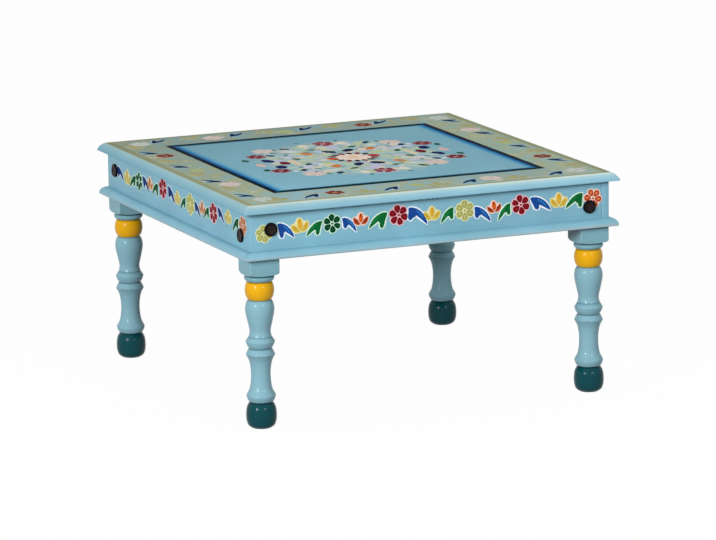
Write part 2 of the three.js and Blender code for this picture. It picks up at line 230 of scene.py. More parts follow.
# %% Aqua enamel on the boards
AQUA, AQUA_THIN, AQUA_RUBBED = "#87bacf", "#82b6c8", "#b3c3c6"
THIN_PATCH = 90 * MM
RUBBED_FROM, RUBBED_TO = 40 * MM, 240 * MM  # along x, where the rubbing grows stronger
CREASE = MOULDING_HIGH.z + 1.3 * MM  # where the strip along the apron's foot ends
# painted shade: the colour is darkened a little along the crease between apron and moulding
SHADE_BELOW, SHADE_ABOVE = 10, 20  # the stretch of the painted shade's ramp about the crease, in mm
CREASE_SHADE = [(-3.0, "#ffffff"), (0.0, "#f0f5f6"), (2.5, "#f6f9fa"), (13.0, "#ffffff")]


def aqua_enamel(add, brush_along, rubbed=None):
    """Mixes two blues by a soft noise, under the shared coat, and a paler blue between two
    heights, where hands and knees have rubbed the paint thin. A painted shade darkens the crease."""
    place = add("TexCoord").node.outputs["Object"]
    thin = add("TexNoise", {"Vector": place, "Scale": 1 / THIN_PATCH, "Detail": 2.0})
    share = add("MapRange", [thin, 0.35, 0.65])
    blue = add("Mix", {0: share, MIX_A: linear(AQUA), MIX_B: linear(AQUA_THIN)}, **BLEND)
    x, _, z = add("SeparateXYZ", [place]).node.outputs
    if rubbed:
        most = add("MapRange", [x, RUBBED_FROM, RUBBED_TO, 0.6])
        thin = add("MapRange", [z, *rubbed, 0.0, most])
        blue = add("Mix", {0: thin, MIX_A: blue, MIX_B: linear(AQUA_RUBBED)}, **BLEND)
    # painted shade: a multiply ramp over the height darkens the crease
    above = add("MapRange", [z, CREASE - SHADE_BELOW * MM, CREASE + SHADE_ABOVE * MM])
    painted_shade = add("ValToRGB", [above], [
        ((height + SHADE_BELOW) / (SHADE_BELOW + SHADE_ABOVE), tint) for height, tint in CREASE_SHADE])
    blue = add("Mix", {0: 1.0, MIX_A: blue, MIX_B: painted_shade}, **TINT)
    return coat_of_enamel(add, place, brush_along, blue, SATIN)


aqua_along = [material(f"aqua_enamel_brushed_along_{axis}", aqua_enamel, axis) for axis in "xy"]
print("brushed enamel:", [m.name for m in aqua_along])

# %% [markdown]
# ## Boards with eased edges
# A planed board is sanded before it is painted, so its edges are soft and catch a thin line
# of light. The section is a rectangle with rounded corners. It is carried along the board,
# and at both ends it shrinks as a quarter circle does, which rounds the end edges as well.
# A Bevel modifier on a box would look the same, but rings are ready at once, with clean ends.

# %% The eased board
EASE_STEPS = np.radians([90, 67.5, 45, 22.5, 0])


def on_circle(angle):
    """(cos a, sin a), for one angle or for each of an array."""
    return np.stack([np.cos(angle), np.sin(angle)], -1)


def four_corners(steps):
    """The signs of x and y at each corner, and a quarter of the unit circle round it."""
    corner = np.repeat(np.arange(4), steps) * np.pi / 2
    angle = corner + np.tile(np.linspace(0, np.pi / 2, steps), 4)
    return np.sign(on_circle(corner + np.pi / 4)), on_circle(angle)


def eased_board(low, high, ease):
    """Near an end, at angle a, the section lies ease (1 - sin a) in and is ease (1 - cos a)
    smaller all round."""
    low, high = np.array(low), np.array(high)
    order = np.argsort(high - low)[::-1]
    length, half = (high - low)[order[0]], (high - low)[order[1:]] / 2
    inset = ease * (1 - np.cos(np.r_[EASE_STEPS, EASE_STEPS[::-1]]))
    near = ease * (1 - np.sin(EASE_STEPS))
    along = np.r_[near, length - near[::-1]]
    sign, circle = four_corners(5)
    radius = np.maximum(ease - inset, 0.05 * ease)[:, None, None]
    section = sign * (half - ease) + radius * circle
    rings = np.empty((len(along), len(circle), 3))
    rings[..., order[0]] = low[order[0]] + along[:, None]
    rings[..., order[1:]] = (low + high)[order[1:]] / 2 + section
    handed = np.linalg.det(np.eye(3)[order]) > 0
    return rings if handed else rings[:, ::-1]

# %% [markdown]
# ## Apron
# Four boards stand under the top. Each runs out to the corner at its left end and covers the
# end of the next one, which leaves one upright joint line near each corner. The boards lie
# where their CAD nodes do.

# %% Apron boards
APRON_EASE = 0.9 * MM

four_pieces("painted_apron", eased_board(APRON_LOW, APRON_HIGH, APRON_EASE), aqua_along,
            "apron")
print("apron", round(APRON_HIGH.z - APRON_LOW.z, 4), "high")

# %% [markdown]
# ## Moulding
# A quarter-round strip covers the joint between apron and legs. It is cut at 45 degrees
# where two strips meet: the further out a point of the section lies, the further along the
# strip it reaches. A bevelled curve round the table would mitre itself too, but it would be
# one piece, and here each strip is its own. The lower outer edge is rubbed pale. Above, thick
# enamel rounds the corner between strip and board, so the section ends in a tiny cove.

# %% Quarter-round strips
MOULDING_EASE = 1.6 * MM
MITRE_GAP = 0.2 * MM
RUBBED_HEIGHT = 6 * MM
COVE = np.array([[0.1, 12.2], [-0.25, 12.8]]) * MM  # where the cove bends, and where it ends


def bent(start, bend, end, t):
    """A quadratic Bezier curve: start (1 - t)^2 + 2 bend t (1 - t) + end t^2."""
    return start * (1 - t) ** 2 + bend * 2 * t * (1 - t) + end * t**2


def quarter_round():
    """Out from the apron and up from its foot: a flat underside, a quarter circle of the ease,
    then depth cos a and height sin a up to 84 degrees, and a quadratic curve into the corner."""
    depth = -MOULDING_LOW.y - APRON_FACE - GLUE_GAP
    height = CREASE - MOULDING_LOW.z
    under = on_circle(np.radians(np.linspace(-90, -18, 5))) + [-1, 1]
    upper = on_circle(np.radians(np.linspace(0, 84, 14))) * [depth, height - MOULDING_EASE]
    upper = upper + [0, MOULDING_EASE]
    cove = bent(upper[-1], *COVE, np.linspace(0, 1, 7)[1:, None])
    return np.r_[[[0, 0]], under * MOULDING_EASE + [depth, 0], upper, cove]


rubbed_along = [material(f"aqua_enamel_rubbed_along_{axis}", aqua_enamel, axis,
                         (MOULDING_LOW.z + RUBBED_HEIGHT, MOULDING_LOW.z)) for axis in "xy"]
out, up = quarter_round().T
distance = APRON_FACE + GLUE_GAP + out
reach = np.linspace(-1, 1, 9)[:, None] * (distance - MITRE_GAP)
rings = np.stack(np.broadcast_arrays(reach, -distance, MOULDING_LOW.z + up), -1)
four_pieces("painted_moulding", rings, rubbed_along, "moulding")
print("moulding section has", len(out), "points")

# %% [markdown]
# ## Top board
# The top's edge falls in a soft curve from a flat rim to a thin upright lip. All of it is
# one stack of square rings. The painting on it follows the distance from the middle, the
# larger of |x| and |y|: an aqua panel, a shaded blue line round it, an olive border, a pale
# painted highlight along the rounded edge that fades down the lip, and aqua again over the
# edge. An image could hold all that, but ramps over a distance
# stay sharp from near by, and each zone is a number that can be changed.

# %% Zones of the painted top
RIM = LIP - 10 * MM
PANEL = "#91c7d9"
BORDER_FROM = 217.8  # distances from the middle in mm, here and in the lists below
RIM_AT_SIDES, RIM_AT_ENDS = 279.0, 282.0
RAMP_END = 300
LINE_AT_SIDES = [
    (189.0, PANEL), (196.0, "#84c2da"), (200.5, "#5aaad4"), (203.8, "#3f93cb"), (206.6, "#2a72ae"),
    (209.0, "#0b3b66"), (211.6, "#00121f"), (BORDER_FROM, "#000c12"),
]
LINE_AT_ENDS = [(198.0, PANEL), (201.5, "#5f9db6"), (205.0, "#0a3f4f"), (210.0, "#001f2a"),
                (BORDER_FROM, "#001d26")]
# From about 289 mm out these stops paint a highlight along the rounded edge, paler at its top and
# fading down the lip: painted light.
EDGE_AND_HIGHLIGHT_AT_SIDES = [(278.0, "#a8b298"), (281.5, "#a6ac8a"), (288.4, "#a2a87c"), (290.4, "#accac8"),
                 (293.0, "#a0c8d0"), (299.5, "#86b7ca")]
EDGE_AND_HIGHLIGHT_AT_ENDS = [(RIM_AT_ENDS, "#98a07a"), (283.5, "#9da47e"), (287.6, "#a6a880"),
                (289.6, "#d8dfd2"), (292.0, "#c6dcd8"), (294.5, "#a2c8d2"), (299.5, "#86b7ca")]
BORDER_GREENS = [(0.34, "#9dc6ce"), (0.43, "#a6c1be"), (0.50, "#aabfb4"), (0.57, "#b2bda3"),
                 (0.64, "#bfc4a7"), (0.70, "#d1dad7")]  # by the noise, from its lows to its highs
GREEN_PATCH = 20 * MM
TINT_AT_SIDES, TINT_AT_ENDS = "#fffcf0", "#f9fdff"  # two pots of the border's green
OFF_CENTRE = (-0.6 * MM, 2.0 * MM, 0.0)  # the panel was set out by eye
PANEL_REACH = 250 * MM  # the edge beyond is true to the board
LIT_BORDER_EDGE = (214 * MM, 222 * MM)  # the right-hand border is painted paler, as painted light
WASH_EDGE = (182 * MM, 158 * MM)  # a pale wash lies under the medallion


def painted_top(add):
    """Colour ramps over the distance from the middle, wavy by half a millimetre. The line is
    shaded wide at the left and right, and narrow at the front and back. The colour is painted
    lighter towards the right and darker towards the left, and the right-hand border paler
    still: painted light."""
    place = add("TexCoord").node.outputs["Object"]
    x, y, _ = add("SeparateXYZ", [place]).node.outputs

    def square_distance(point):
        """The larger of |x| and |y|, and whether that is |y|."""
        wide = add("VectorMath", [point], operation="ABSOLUTE")
        along, across, _ = add("SeparateXYZ", [wide]).node.outputs
        return [add("Math", [across, along], operation=how) for how in ("MAXIMUM", "GREATER_THAN")]

    on_panel = add("Math", [square_distance(place)[0], PANEL_REACH], operation="LESS_THAN")
    moved = add("VectorMath", [on_panel, [-o for o in OFF_CENTRE], place], operation="MULTIPLY_ADD")
    square, at_ends = square_distance(moved)
    square = unsteady(add, place, square, 25 * MM, 1.6 * MM)
    share = add("Math", [square, RAMP_END * MM], operation="DIVIDE")
    at_sides, at_end_lines = (
        add("ValToRGB", [share], [(distance / RAMP_END, tint) for distance, tint in stops])
        for stops in ([(0.0, PANEL)] + LINE_AT_SIDES + EDGE_AND_HIGHLIGHT_AT_SIDES,
                      [(0.0, PANEL)] + LINE_AT_ENDS + EDGE_AND_HIGHLIGHT_AT_ENDS))
    colour = add("Mix", {0: at_ends, MIX_A: at_sides, MIX_B: at_end_lines}, **BLEND)

    patch = add("TexNoise", {
        "Vector": place, "Scale": 1 / GREEN_PATCH, "Detail": 5.0, "Roughness": 0.55})
    greens = add("ValToRGB", [patch], BORDER_GREENS)
    mix_of_the_day = add("Mix", {
        0: at_ends, MIX_A: linear(TINT_AT_SIDES), MIX_B: linear(TINT_AT_ENDS)}, **BLEND)
    # painted light: the border's greens are made lighter on the right-hand side
    painted_light_on_the_right_border = add("MapRange", [x, *LIT_BORDER_EDGE, 1.0, 1.12])
    for tint in (mix_of_the_day, painted_light_on_the_right_border):
        greens = add("Mix", {0: 1.0, MIX_A: greens, MIX_B: tint}, **TINT)
    inside = add("Math", [square, BORDER_FROM * MM], operation="GREATER_THAN")
    rim_from = add("Math", [at_ends, (RIM_AT_ENDS - RIM_AT_SIDES) * MM, RIM_AT_SIDES * MM],
                   operation="MULTIPLY_ADD")
    outside = add("Math", [square, rim_from], operation="LESS_THAN")
    border = add("Math", [inside, outside], operation="MULTIPLY")
    colour = add("Mix", {0: border, MIX_A: colour, MIX_B: greens}, **BLEND)

    middle = add("VectorMath", [add("CombineXYZ", [x, y])], operation="LENGTH")
    middle = add("Math", [patch, 60 * MM, middle], operation="MULTIPLY_ADD")
    wash = add("MapRange", [middle, *WASH_EDGE, 0.0, 0.5])
    colour = add("Mix", {0: wash, MIX_A: colour, MIX_B: linear("#c3d6cf")}, **BLEND)
    # painted light: the whole top is scaled lighter to the right and darker to the left
    painted_light_to_the_right = add("MapRange", [x, -LIP, LIP, 0.91, 1.14])
    colour = add("Mix", {0: 1.0, MIX_A: colour, MIX_B: painted_light_to_the_right}, **TINT)
    return coat_of_enamel(add, place, "x", colour, RUBBED, 0.07)

# %% Square rings of the top
CORNER_RADIUS = 1.6 * MM
LIP_EASE = 0.6 * MM
EDGE_FALL = 0.92 * (TOP_HIGH.z - TOP_LOW.z)
EDGE_BEND_SHARES = (0.65, 0.25)


def square_rings(halves, levels):
    """Square rings with rounded corners: half minus the radius, plus the radius along a."""
    sign, circle = four_corners(6)
    flat = sign * (halves[:, None, None] - CORNER_RADIUS) + CORNER_RADIUS * circle
    high = np.broadcast_to(levels[:, None, None], (*flat.shape[:2], 1))
    return np.concatenate([flat, high], -1)


def top_edge(steps):
    """A quadratic curve from the lip, by way of the bend, to the rim."""
    run, fall = EDGE_BEND_SHARES
    start, bend, end = np.array([
        [LIP, TOP_LEVEL - EDGE_FALL], [RIM + (LIP - RIM) * run, TOP_LEVEL - EDGE_FALL * fall],
        [RIM, TOP_LEVEL]])
    return bent(start, bend, end, np.linspace(0, 1, steps)[:, None])


profile = np.r_[[[LIP - LIP_EASE, TOP_LOW.z], [LIP - 0.2 * LIP_EASE, TOP_LOW.z + 0.2 * LIP_EASE]],
                top_edge(16)]
piece("painted_top", square_rings(*profile.T), material("painted_top_enamel", painted_top),
      "top_board", crease=40)
print("top edge from", profile[0].round(4), "to", profile[-1].round(4))

# %% [markdown]
# ## Legs
# Each leg is one piece of wood: turned below, square above, and cut back at the top to a
# post that stands inside the corner of the apron. A Screw modifier can spin a profile, but it
# can't go over into a square, so every ring is drawn in polar form: a circle for the turning,
# and a chamfered square for the block, whose lower corners the lathe has rounded. A lathe
# leaves smooth curves between sharp edges, so each form is its own Catmull-Rom curve.

# %% The turned profile
LEG_RADIUS = 23 * MM
BLOCK_CHAMFER = 1.2 * MM
BLOCK_TOP = APRON_LOW.z - GLUE_GAP
BLOCK_HEIGHT = 25.5 * MM
BLOCK_FOOT = BLOCK_TOP - BLOCK_HEIGHT
SHOULDER_RISE = 5 * MM
LEG_AXIS = APRON_FACE - LEG_RADIUS
POST_OUT = LEG_RADIUS - BOARD_THICKNESS - GLUE_GAP
LEG_FORMS = [  # radius as a share of LEG_RADIUS, and height as a share of BLOCK_FOOT
    [[0.63, 0], [0.85, 0.018], [0.955, 0.05], [0.975, 0.092], [0.915, 0.136], [0.75, 0.167]],
    [[0.75, 0.167], [0.87, 0.187], [0.935, 0.21], [0.86, 0.228], [0.74, 0.252], [0.65, 0.3],
     [0.63, 0.37], [0.73, 0.434], [0.93, 0.478]],
    [[0.93, 0.478], [0.84, 0.5], [0.73, 0.519]],
    [[0.73, 0.519], [0.86, 0.541], [0.93, 0.563]],
    [[0.93, 0.563], [0.85, 0.578], [0.74, 0.594]],
    [[0.74, 0.594], [0.67, 0.633], [0.8, 0.697], [0.925, 0.765], [0.875, 0.811], [0.74, 0.836]],
    [[0.74, 0.836], [0.875, 0.862], [0.935, 0.896], [0.89, 0.93], [0.79, 0.953]],
    [[0.79, 0.953], [0.89, 0.963], [0.96, 0.975], [0.95, 0.986]],
    [[0.95, 0.986], [0.88, 0.993], [0.88, 1]],
]


def smooth_through(knots, steps=6):
    """Catmull-Rom: on each span, a cubic whose slopes are half the chord past each knot."""
    k = np.array(knots, float)
    before, after = np.r_[k[:1], k[:-1]], np.r_[k[1:], k[-1:]]
    slope = (after - before) / 2
    t = np.linspace(0, 1, steps, endpoint=False)[None, :, None]
    p, q, v, w = k[:-1, None], k[1:, None], slope[:-1, None], slope[1:, None]
    curve = (2 * p - 2 * q + v + w) * t**3 + (3 * q - 3 * p - 2 * v - w) * t**2 + v * t + p
    return np.r_[curve.reshape(-1, 2), k[-1:]]


turning = [smooth_through(form) for form in LEG_FORMS]
turning = np.concatenate([turning[0]] + [form[1:] for form in turning[1:]])
turning = turning * [LEG_RADIUS, BLOCK_FOOT]
print("leg turning:", len(turning), "rings, widest", round(turning[:, 0].max() * 2, 4))

# %% The leg's rings
BLOCK_TOP_EASE = [(0, 0.5), (0.15, 0.15), (0.5, 0)]  # how far in and how far down, in mm
POST_CHAMFER, POST_EASE = 1.2 * MM, 0.8 * MM
ACROSS_FLAT = np.arctan2(LEG_RADIUS - BLOCK_CHAMFER, LEG_RADIUS)
one_side = np.r_[np.linspace(-ACROSS_FLAT, ACROSS_FLAT, 17)[:-1],
                 np.linspace(ACROSS_FLAT, np.pi / 2 - ACROSS_FLAT, 9)[:-1]]
AROUND = (np.arange(4)[:, None] * np.pi / 2 + one_side).ravel()


def chamfered_square(half, chamfer, angle):
    """Distance at an angle: half over the larger of |cos| and |sin|, or along the chamfer
    (2 half - chamfer) over their sum, whichever is less."""
    c, s = np.abs(np.cos(angle)), np.abs(np.sin(angle))
    return np.minimum(half / np.maximum(c, s), (2 * half - chamfer) / (c + s))


def leg_rings():
    """Rings about the front left leg's axis, from the floor up."""
    around = on_circle(AROUND)
    reach = chamfered_square(LEG_RADIUS, BLOCK_CHAMFER, AROUND)
    radii = [np.broadcast_to(r, AROUND.shape) for r in turning[:, 0]]
    levels = list(turning[:, 1])
    for a in np.linspace(0, np.pi / 2, 8):
        radii.append(np.minimum(reach, LEG_RADIUS * (1 + (math.sqrt(2) - 1) * math.sin(a))))
        levels.append(BLOCK_FOOT + SHOULDER_RISE * (1 - math.cos(a)))
    for inset, drop in BLOCK_TOP_EASE:
        radii.append(reach - inset * MM)
        levels.append(BLOCK_TOP - drop * MM)
    post = chamfered_square((POST_OUT + LEG_RADIUS) / 2, POST_CHAMFER, AROUND)
    above = np.array([post, post, post - POST_EASE])[..., None] * around
    rings = np.concatenate([np.array(radii)[..., None] * around,
                            above + (LEG_RADIUS - POST_OUT) / 2])
    levels = np.array(levels + [BLOCK_TOP, APRON_HIGH.z - POST_EASE, APRON_HIGH.z])
    return np.concatenate([rings, np.broadcast_to(levels[:, None, None], (*rings.shape[:2], 1))], -1)

# %% [markdown]
# The ring under the block is painted yellow and the foot dark teal. The painter turns the
# leg against the brush, so the marks run round it and the edges of the colours follow the
# grooves. Three materials by face could do it, but one ramp over the height can waver a
# little, as a hand does. The grooves are painted darker, as thin lines of painted shade, and
# the darkest is a painted shadow under the block.

# %% Enamel on the turned legs
FOOT_GROOVE, RING_FOOT, RING_TOP = 0.170 * BLOCK_FOOT, 0.836 * BLOCK_FOOT, 0.953 * BLOCK_FOOT
LEG_COLOURS = [(0.0, "#08464d"), (FOOT_GROOVE, "#86b2c0"), (RING_FOOT, "#e8ab12"),
               (RING_TOP, "#80aebb")]  # from the floor up
SHADED_GROOVE_SHARES = [(0.167, "#6d8f96"), (0.477, "#d4dfe2"), (0.519, "#6d8f96"), (0.594, "#a9bfc4"),
                 (0.836, "#8fa6ab"), (0.953, "#8aa3a9"), (0.994, "#123845")]  # and the painted shade in each
SHADE_REACH = 1.6 * MM


def leg_enamel(add):
    """A colour ramp over the height, with steps at three of the grooves, and a painted shade at each
    groove.
    """
    place = add("TexCoord").node.outputs["Object"]
    high = add("SeparateXYZ", [place]).node.outputs[2]
    high = unsteady(add, place, high, 12 * MM, 1.2 * MM)
    share = add("Math", [high, TOP_LEVEL], operation="DIVIDE")
    zones = add("ValToRGB", [share], [(level / TOP_LEVEL, tint) for level, tint in LEG_COLOURS])
    zones.node.color_ramp.interpolation = "CONSTANT"
    # painted shade: each groove is darkened a little above and below it
    lines = [(0.0, "#ffffff")]
    for groove, dark in SHADED_GROOVE_SHARES:
        middle, reach = groove * BLOCK_FOOT / TOP_LEVEL, SHADE_REACH / TOP_LEVEL
        lines += [(middle - reach, "#ffffff"), (middle, dark), (middle + reach, "#ffffff")]
    painted_shade = add("ValToRGB", [share], lines)
    colour = add("Mix", {0: 1.0, MIX_A: zones, MIX_B: painted_shade}, **TINT)
    return coat_of_enamel(add, place, "xy", colour, GLOSSY, 0.05)


rings = leg_rings() - [LEG_AXIS, LEG_AXIS, 0]
four_pieces("turned_leg", rings, [material("turned_leg_enamel", leg_enamel)],
            "leg", CORNERS)
print("legs:", rings.size // 3, "points each")

# %% [markdown]
# ## Bolts
# The legs come off for travel. Each is held by two black iron bolts whose flat heads show on
# the apron. The head is forged with a shallow dish, and the black finish wears brown in
# the middle. A float attribute called worn says how far a point is from the rim, so that the
# wear stays with each bolt. Under the head is a square neck. The thread is real geometry, as
# a bump would leave the edge of the bolt smooth.

# %% Rings of one bolt
BOLT_LOW, BOLT_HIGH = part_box("bolt_front_left_upper")
BOLT_X, BOLT_Z = (BOLT_LOW.x + BOLT_HIGH.x) / 2, (BOLT_LOW.z + BOLT_HIGH.z) / 2
LOWER_Z = sum(corner.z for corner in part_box("bolt_front_left_lower")) / 2
HEAD_RADIUS, HEAD_THICKNESS, RIM_ROUND = 10 * MM, 3 * MM, 1 * MM
DISH_RADIUS, DISH_DEPTH = 7.6 * MM, 0.8 * MM
NECK_HALF, NECK_CHAMFER, NECK_LENGTH = 3.5 * MM, 0.6 * MM, 3 * MM
SHANK_RADIUS, THREAD_DEPTH, PITCH, THREAD_LENGTH = 3 * MM, 0.35 * MM, 1 * MM, 14 * MM
TIP_LENGTH, TIP_NARROWER = 0.6 * MM, 0.9 * MM
BOLT_AROUND, OUT_OF_ROUND = 40, 0.012


def bolt_rings():
    """Radius and depth along the bolt: a dish that falls as a cosine, a round rim, a square
    neck, and a thread whose radius is a zigzag of depth / pitch minus angle / 2 pi. Forging
    has left the head a little out of round."""
    turn = np.linspace(0, 2 * np.pi, BOLT_AROUND, endpoint=False)
    dish = np.linspace(0.05, 1, 9)
    rim = np.radians(np.linspace(0, 90, 5))
    front, end = BOLT_LOW.y, BOLT_HIGH.y
    back, neck_end = front + HEAD_THICKNESS, NECK_LENGTH - APRON_FACE
    thread_from = end - THREAD_LENGTH
    radius = np.r_[dish * DISH_RADIUS, HEAD_RADIUS - RIM_ROUND + RIM_ROUND * np.sin(rim)]
    depth = np.r_[front + DISH_DEPTH * (1 + np.cos(np.pi * dish**2)) / 2,
                  front + RIM_ROUND * (1 - np.cos(rim))]
    wobble = 1 + OUT_OF_ROUND * np.cos(3 * turn + 1)
    neck = chamfered_square(NECK_HALF, NECK_CHAMFER, turn)
    shank = np.full(BOLT_AROUND, SHANK_RADIUS)
    spin = np.arange(thread_from, end - TIP_LENGTH, PITCH / 6)
    zigzag = np.abs(((spin[:, None] / PITCH - turn / (2 * np.pi)) % 1) * 2 - 1)
    rows = np.r_[radius[:, None] * wobble, [HEAD_RADIUS * wobble, neck, neck, shank, shank],
                 shank - THREAD_DEPTH * zigzag, [shank - TIP_NARROWER]]
    depths = np.r_[depth, back, back, neck_end, neck_end, thread_from, spin, end]
    x, z = rows * np.cos(turn), rows * np.sin(turn)
    worn = np.clip(4 - 4 * rows / DISH_RADIUS, 0, 1) * (depths < back)[:, None]
    rings = np.stack([x, np.broadcast_to(depths[:, None], x.shape), z], -1)
    return rings[:, ::-1] + [BOLT_X, 0, BOLT_Z], worn[:, ::-1]


def at_each_bolt(name, rings, finish, node, tail=False):
    """Two at each corner: an upper one, and a lower one mirrored into the side round it."""
    lower = (rings + [0, 0, LOWER_Z - BOLT_Z])[:, ::-1, [1, 0, 2]]
    return [piece(f"{name}_{corner}_{level}", quarter_turned(own, turn), finish,
                  f"{node}_{corner}_{level}", tail)
            for turn, corner in enumerate(CORNERS)
            for level, own in (("upper", rings), ("lower", lower))]

# %% [markdown]
# Blackened iron is dull and uneven, with a brown bloom where hands and spanners touch it.

# %% Blackened iron
def blackened_iron(add):
    """Black to brown by the worn attribute and a fine noise. It is an oxide, so it is hardly
    metallic."""
    place = add("TexCoord").node.outputs["Object"]
    worn = add("Attribute", attribute_name="worn").node.outputs["Fac"]
    bloom = add("TexNoise", {"Vector": place, "Scale": 1 / (3 * MM), "Detail": 4.0})
    amount = add("Math", [bloom, 0.5, -0.2], operation="MULTIPLY_ADD", use_clamp=True)
    amount = add("Math", [worn, 0.8, amount], operation="MULTIPLY_ADD", use_clamp=True)
    colour = add("Mix", {0: amount, MIX_A: linear("#050404"), MIX_B: linear("#2a2120")}, **BLEND)
    dents = add("Bump", {"Height": bloom, "Strength": 0.6, "Distance": 0.2 * MM})
    return add("BsdfPrincipled", {"Base Color": colour, "Metallic": 0.2, "Roughness": 0.5,
                                  "Normal": dents, "Specular IOR Level": 0.08})


rings, worn = bolt_rings()
bolts = at_each_bolt("black_bolt", rings, material("blackened_iron", blackened_iron),
                     "bolt")
for bolt, own in zip(bolts, [worn, worn[:, ::-1]] * len(CORNERS)):
    bolt.data.attributes.new("worn", "FLOAT", "POINT").data.foreach_set(
        "value", own.ravel().astype(np.float32))
print("bolts:", len(bolts), "with", worn.size, "points each")

# %% [markdown]
# ## Washers and nuts
# They sit on the inner end of each bolt, where only somebody under the table sees them. A
# washer is a ring with rounded edges. A nut is a hexagon cut by a cone at both ends, which
# gives its bright arcs. A boolean could drill both, but it leaves ragged faces. A stack of
# rings that closes on itself has its bore from the start.

# %% Zinc-plated steel
def plated_steel(add):
    """Bright zinc: a light grey metal with faint blue patches and fine scratches."""
    place = add("TexCoord").node.outputs["Object"]
    patch = add("TexNoise", {"Vector": place, "Scale": 1 / (4 * MM), "Detail": 3.0})
    colour = add("ValToRGB", [patch], [(0.35, "#a9afb5"), (0.65, "#c9cac6")])
    rough = add("MapRange", {"Value": patch, "To Min": 0.25, "To Max": 0.5})
    fine = add("TexNoise", {"Vector": place, "Scale": 1 / (0.4 * MM)})
    bump = add("Bump", {"Height": fine, "Distance": 0.02 * MM})
    return add("BsdfPrincipled", {
        "Base Color": colour, "Metallic": 1.0, "Roughness": rough, "Normal": bump})

# %% Rings of a washer and a nut
STEEL_AROUND = 48
steel_turn = np.linspace(0, 2 * np.pi, STEEL_AROUND, endpoint=False)
WASHER_BORE, WASHER_EASE = 3.5 * MM, 0.3 * MM
NUT_FLATS, NUT_BORE = 5 * MM, 3.3 * MM
NUT_CONE = np.array([[0.0, 4.9], [0.25, 5.33], [0.5, 5.8]]) * MM  # depth, and radius there


def ring_stack(low, high, radii, depths):
    """Rings across Y about the middle of a box: radii by row and angle, a depth for each row."""
    radii = np.broadcast_to(radii, (len(depths), STEEL_AROUND))
    deep = np.broadcast_to(np.array(depths)[:, None], radii.shape)
    return np.stack([(low.x + high.x) / 2 + radii * np.cos(steel_turn), deep,
                     (low.z + high.z) / 2 + radii * np.sin(steel_turn)], -1)[:, ::-1]


def washer_rings(low, high):
    """Bore, then the outer edge with eased corners, from the front face to the back."""
    edge, ease = (high.x - low.x) / 2, WASHER_EASE
    radii = [WASHER_BORE, edge - ease, edge, edge, edge - ease, WASHER_BORE]
    depths = [low.y, low.y, low.y + ease, high.y - ease, high.y, high.y]
    return ring_stack(low, high, np.array(radii)[:, None], depths)


def nut_rings(low, high):
    """A hexagon's radius is half its flats over cos(angle from the nearest flat), and a cone
    of 30 degrees cuts it at both faces."""
    hexagon = NUT_FLATS / np.cos((steel_turn + np.pi / 6) % (np.pi / 3) - np.pi / 6)
    outer = np.minimum(hexagon, NUT_CONE[:, 1:])
    bore = np.full((1, STEEL_AROUND), NUT_BORE)
    deep = NUT_CONE[:, 0]
    return ring_stack(low, high, np.r_[bore, outer, outer[::-1], bore],
                      np.r_[low.y, low.y + deep, high.y - deep[::-1], high.y])


steel = material("zinc_plated_steel", plated_steel)
for kind, rings_of in (("washer", washer_rings), ("nut", nut_rings)):
    at_each_bolt(f"steel_{kind}", rings_of(*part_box(f"{kind}_front_left_upper")), steel,
                 kind, tail=True)
print("washers and nuts:", 4 * len(CORNERS))

# %% [markdown]
# ## Bare wood underneath
# Cleats and battens hold the top down and flat. They are left unpainted, as nobody sees
# them: pale mango wood with a straight grain and short dark pores. Wave textures make grain
# that is too even, so both patterns are noise, stretched along the board.

# %% Bare mango wood
def bare_wood(add, along):
    """Long soft bands of three browns, and over them short dark pores that are sunk in."""
    place = add("TexCoord").node.outputs["Object"]
    grain, pore = (add("Mapping", {"Vector": place, "Scale": [
        1 / (length if axis == along else width) for axis in "xyz"]})
        for length, width in ((140 * MM, 5 * MM), (9 * MM, 0.7 * MM)))
    grain = add("TexNoise", {"Vector": grain, "Scale": 1.0, "Detail": 5.0, "Distortion": 0.6})
    colour = add("ValToRGB", [grain], [(0.3, "#8d6440"), (0.5, "#b58a5c"), (0.7, "#cba777")])
    pores = add("TexNoise", {"Vector": pore, "Scale": 1.0})
    pores = add("MapRange", [pores, 0.62, 0.7])
    colour = add("Mix", {0: pores, MIX_A: colour, MIX_B: linear("#6e4b2e")}, **BLEND)
    bump = add("Bump", {"Height": pores, "Distance": 0.15 * MM}, invert=True)
    return add("BsdfPrincipled", {"Base Color": colour, "Roughness": 0.72, "Normal": bump})


CLEAT_EASE, BATTEN_EASE = 0.8 * MM, 1.2 * MM
wood_along = [material(f"bare_mango_wood_along_{axis}", bare_wood, axis) for axis in "xy"]
four_pieces("wood_cleat", eased_board(*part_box("cleat_front"), CLEAT_EASE), wood_along,
            "cleat")
for side in ("left", "right"):
    piece(f"wood_batten_{side}", eased_board(*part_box(f"batten_{side}"), BATTEN_EASE),
          wood_along[1], f"batten_{side}")
print("bare wood pieces: 6")

# %% [markdown]
# ## Wood screws
# Their heads face down, flush with the wood. A slot is cut across each. No cutter is needed:
# the face's points rise by the slot's depth where they lie near its centre line.

# %% Slotted screws
SLOT_WIDTH, SLOT_DEPTH = 1.0 * MM, 0.9 * MM
SCREW_SHANK, SCREW_POINT = 1.75 * MM, 0.25 * MM  # radii
SCREW_RIM, SCREW_CONE, SCREW_TAPER = 0.3 * MM, 2.5 * MM, 4 * MM  # heights of the rim, cone and point
FACE_RINGS = 14


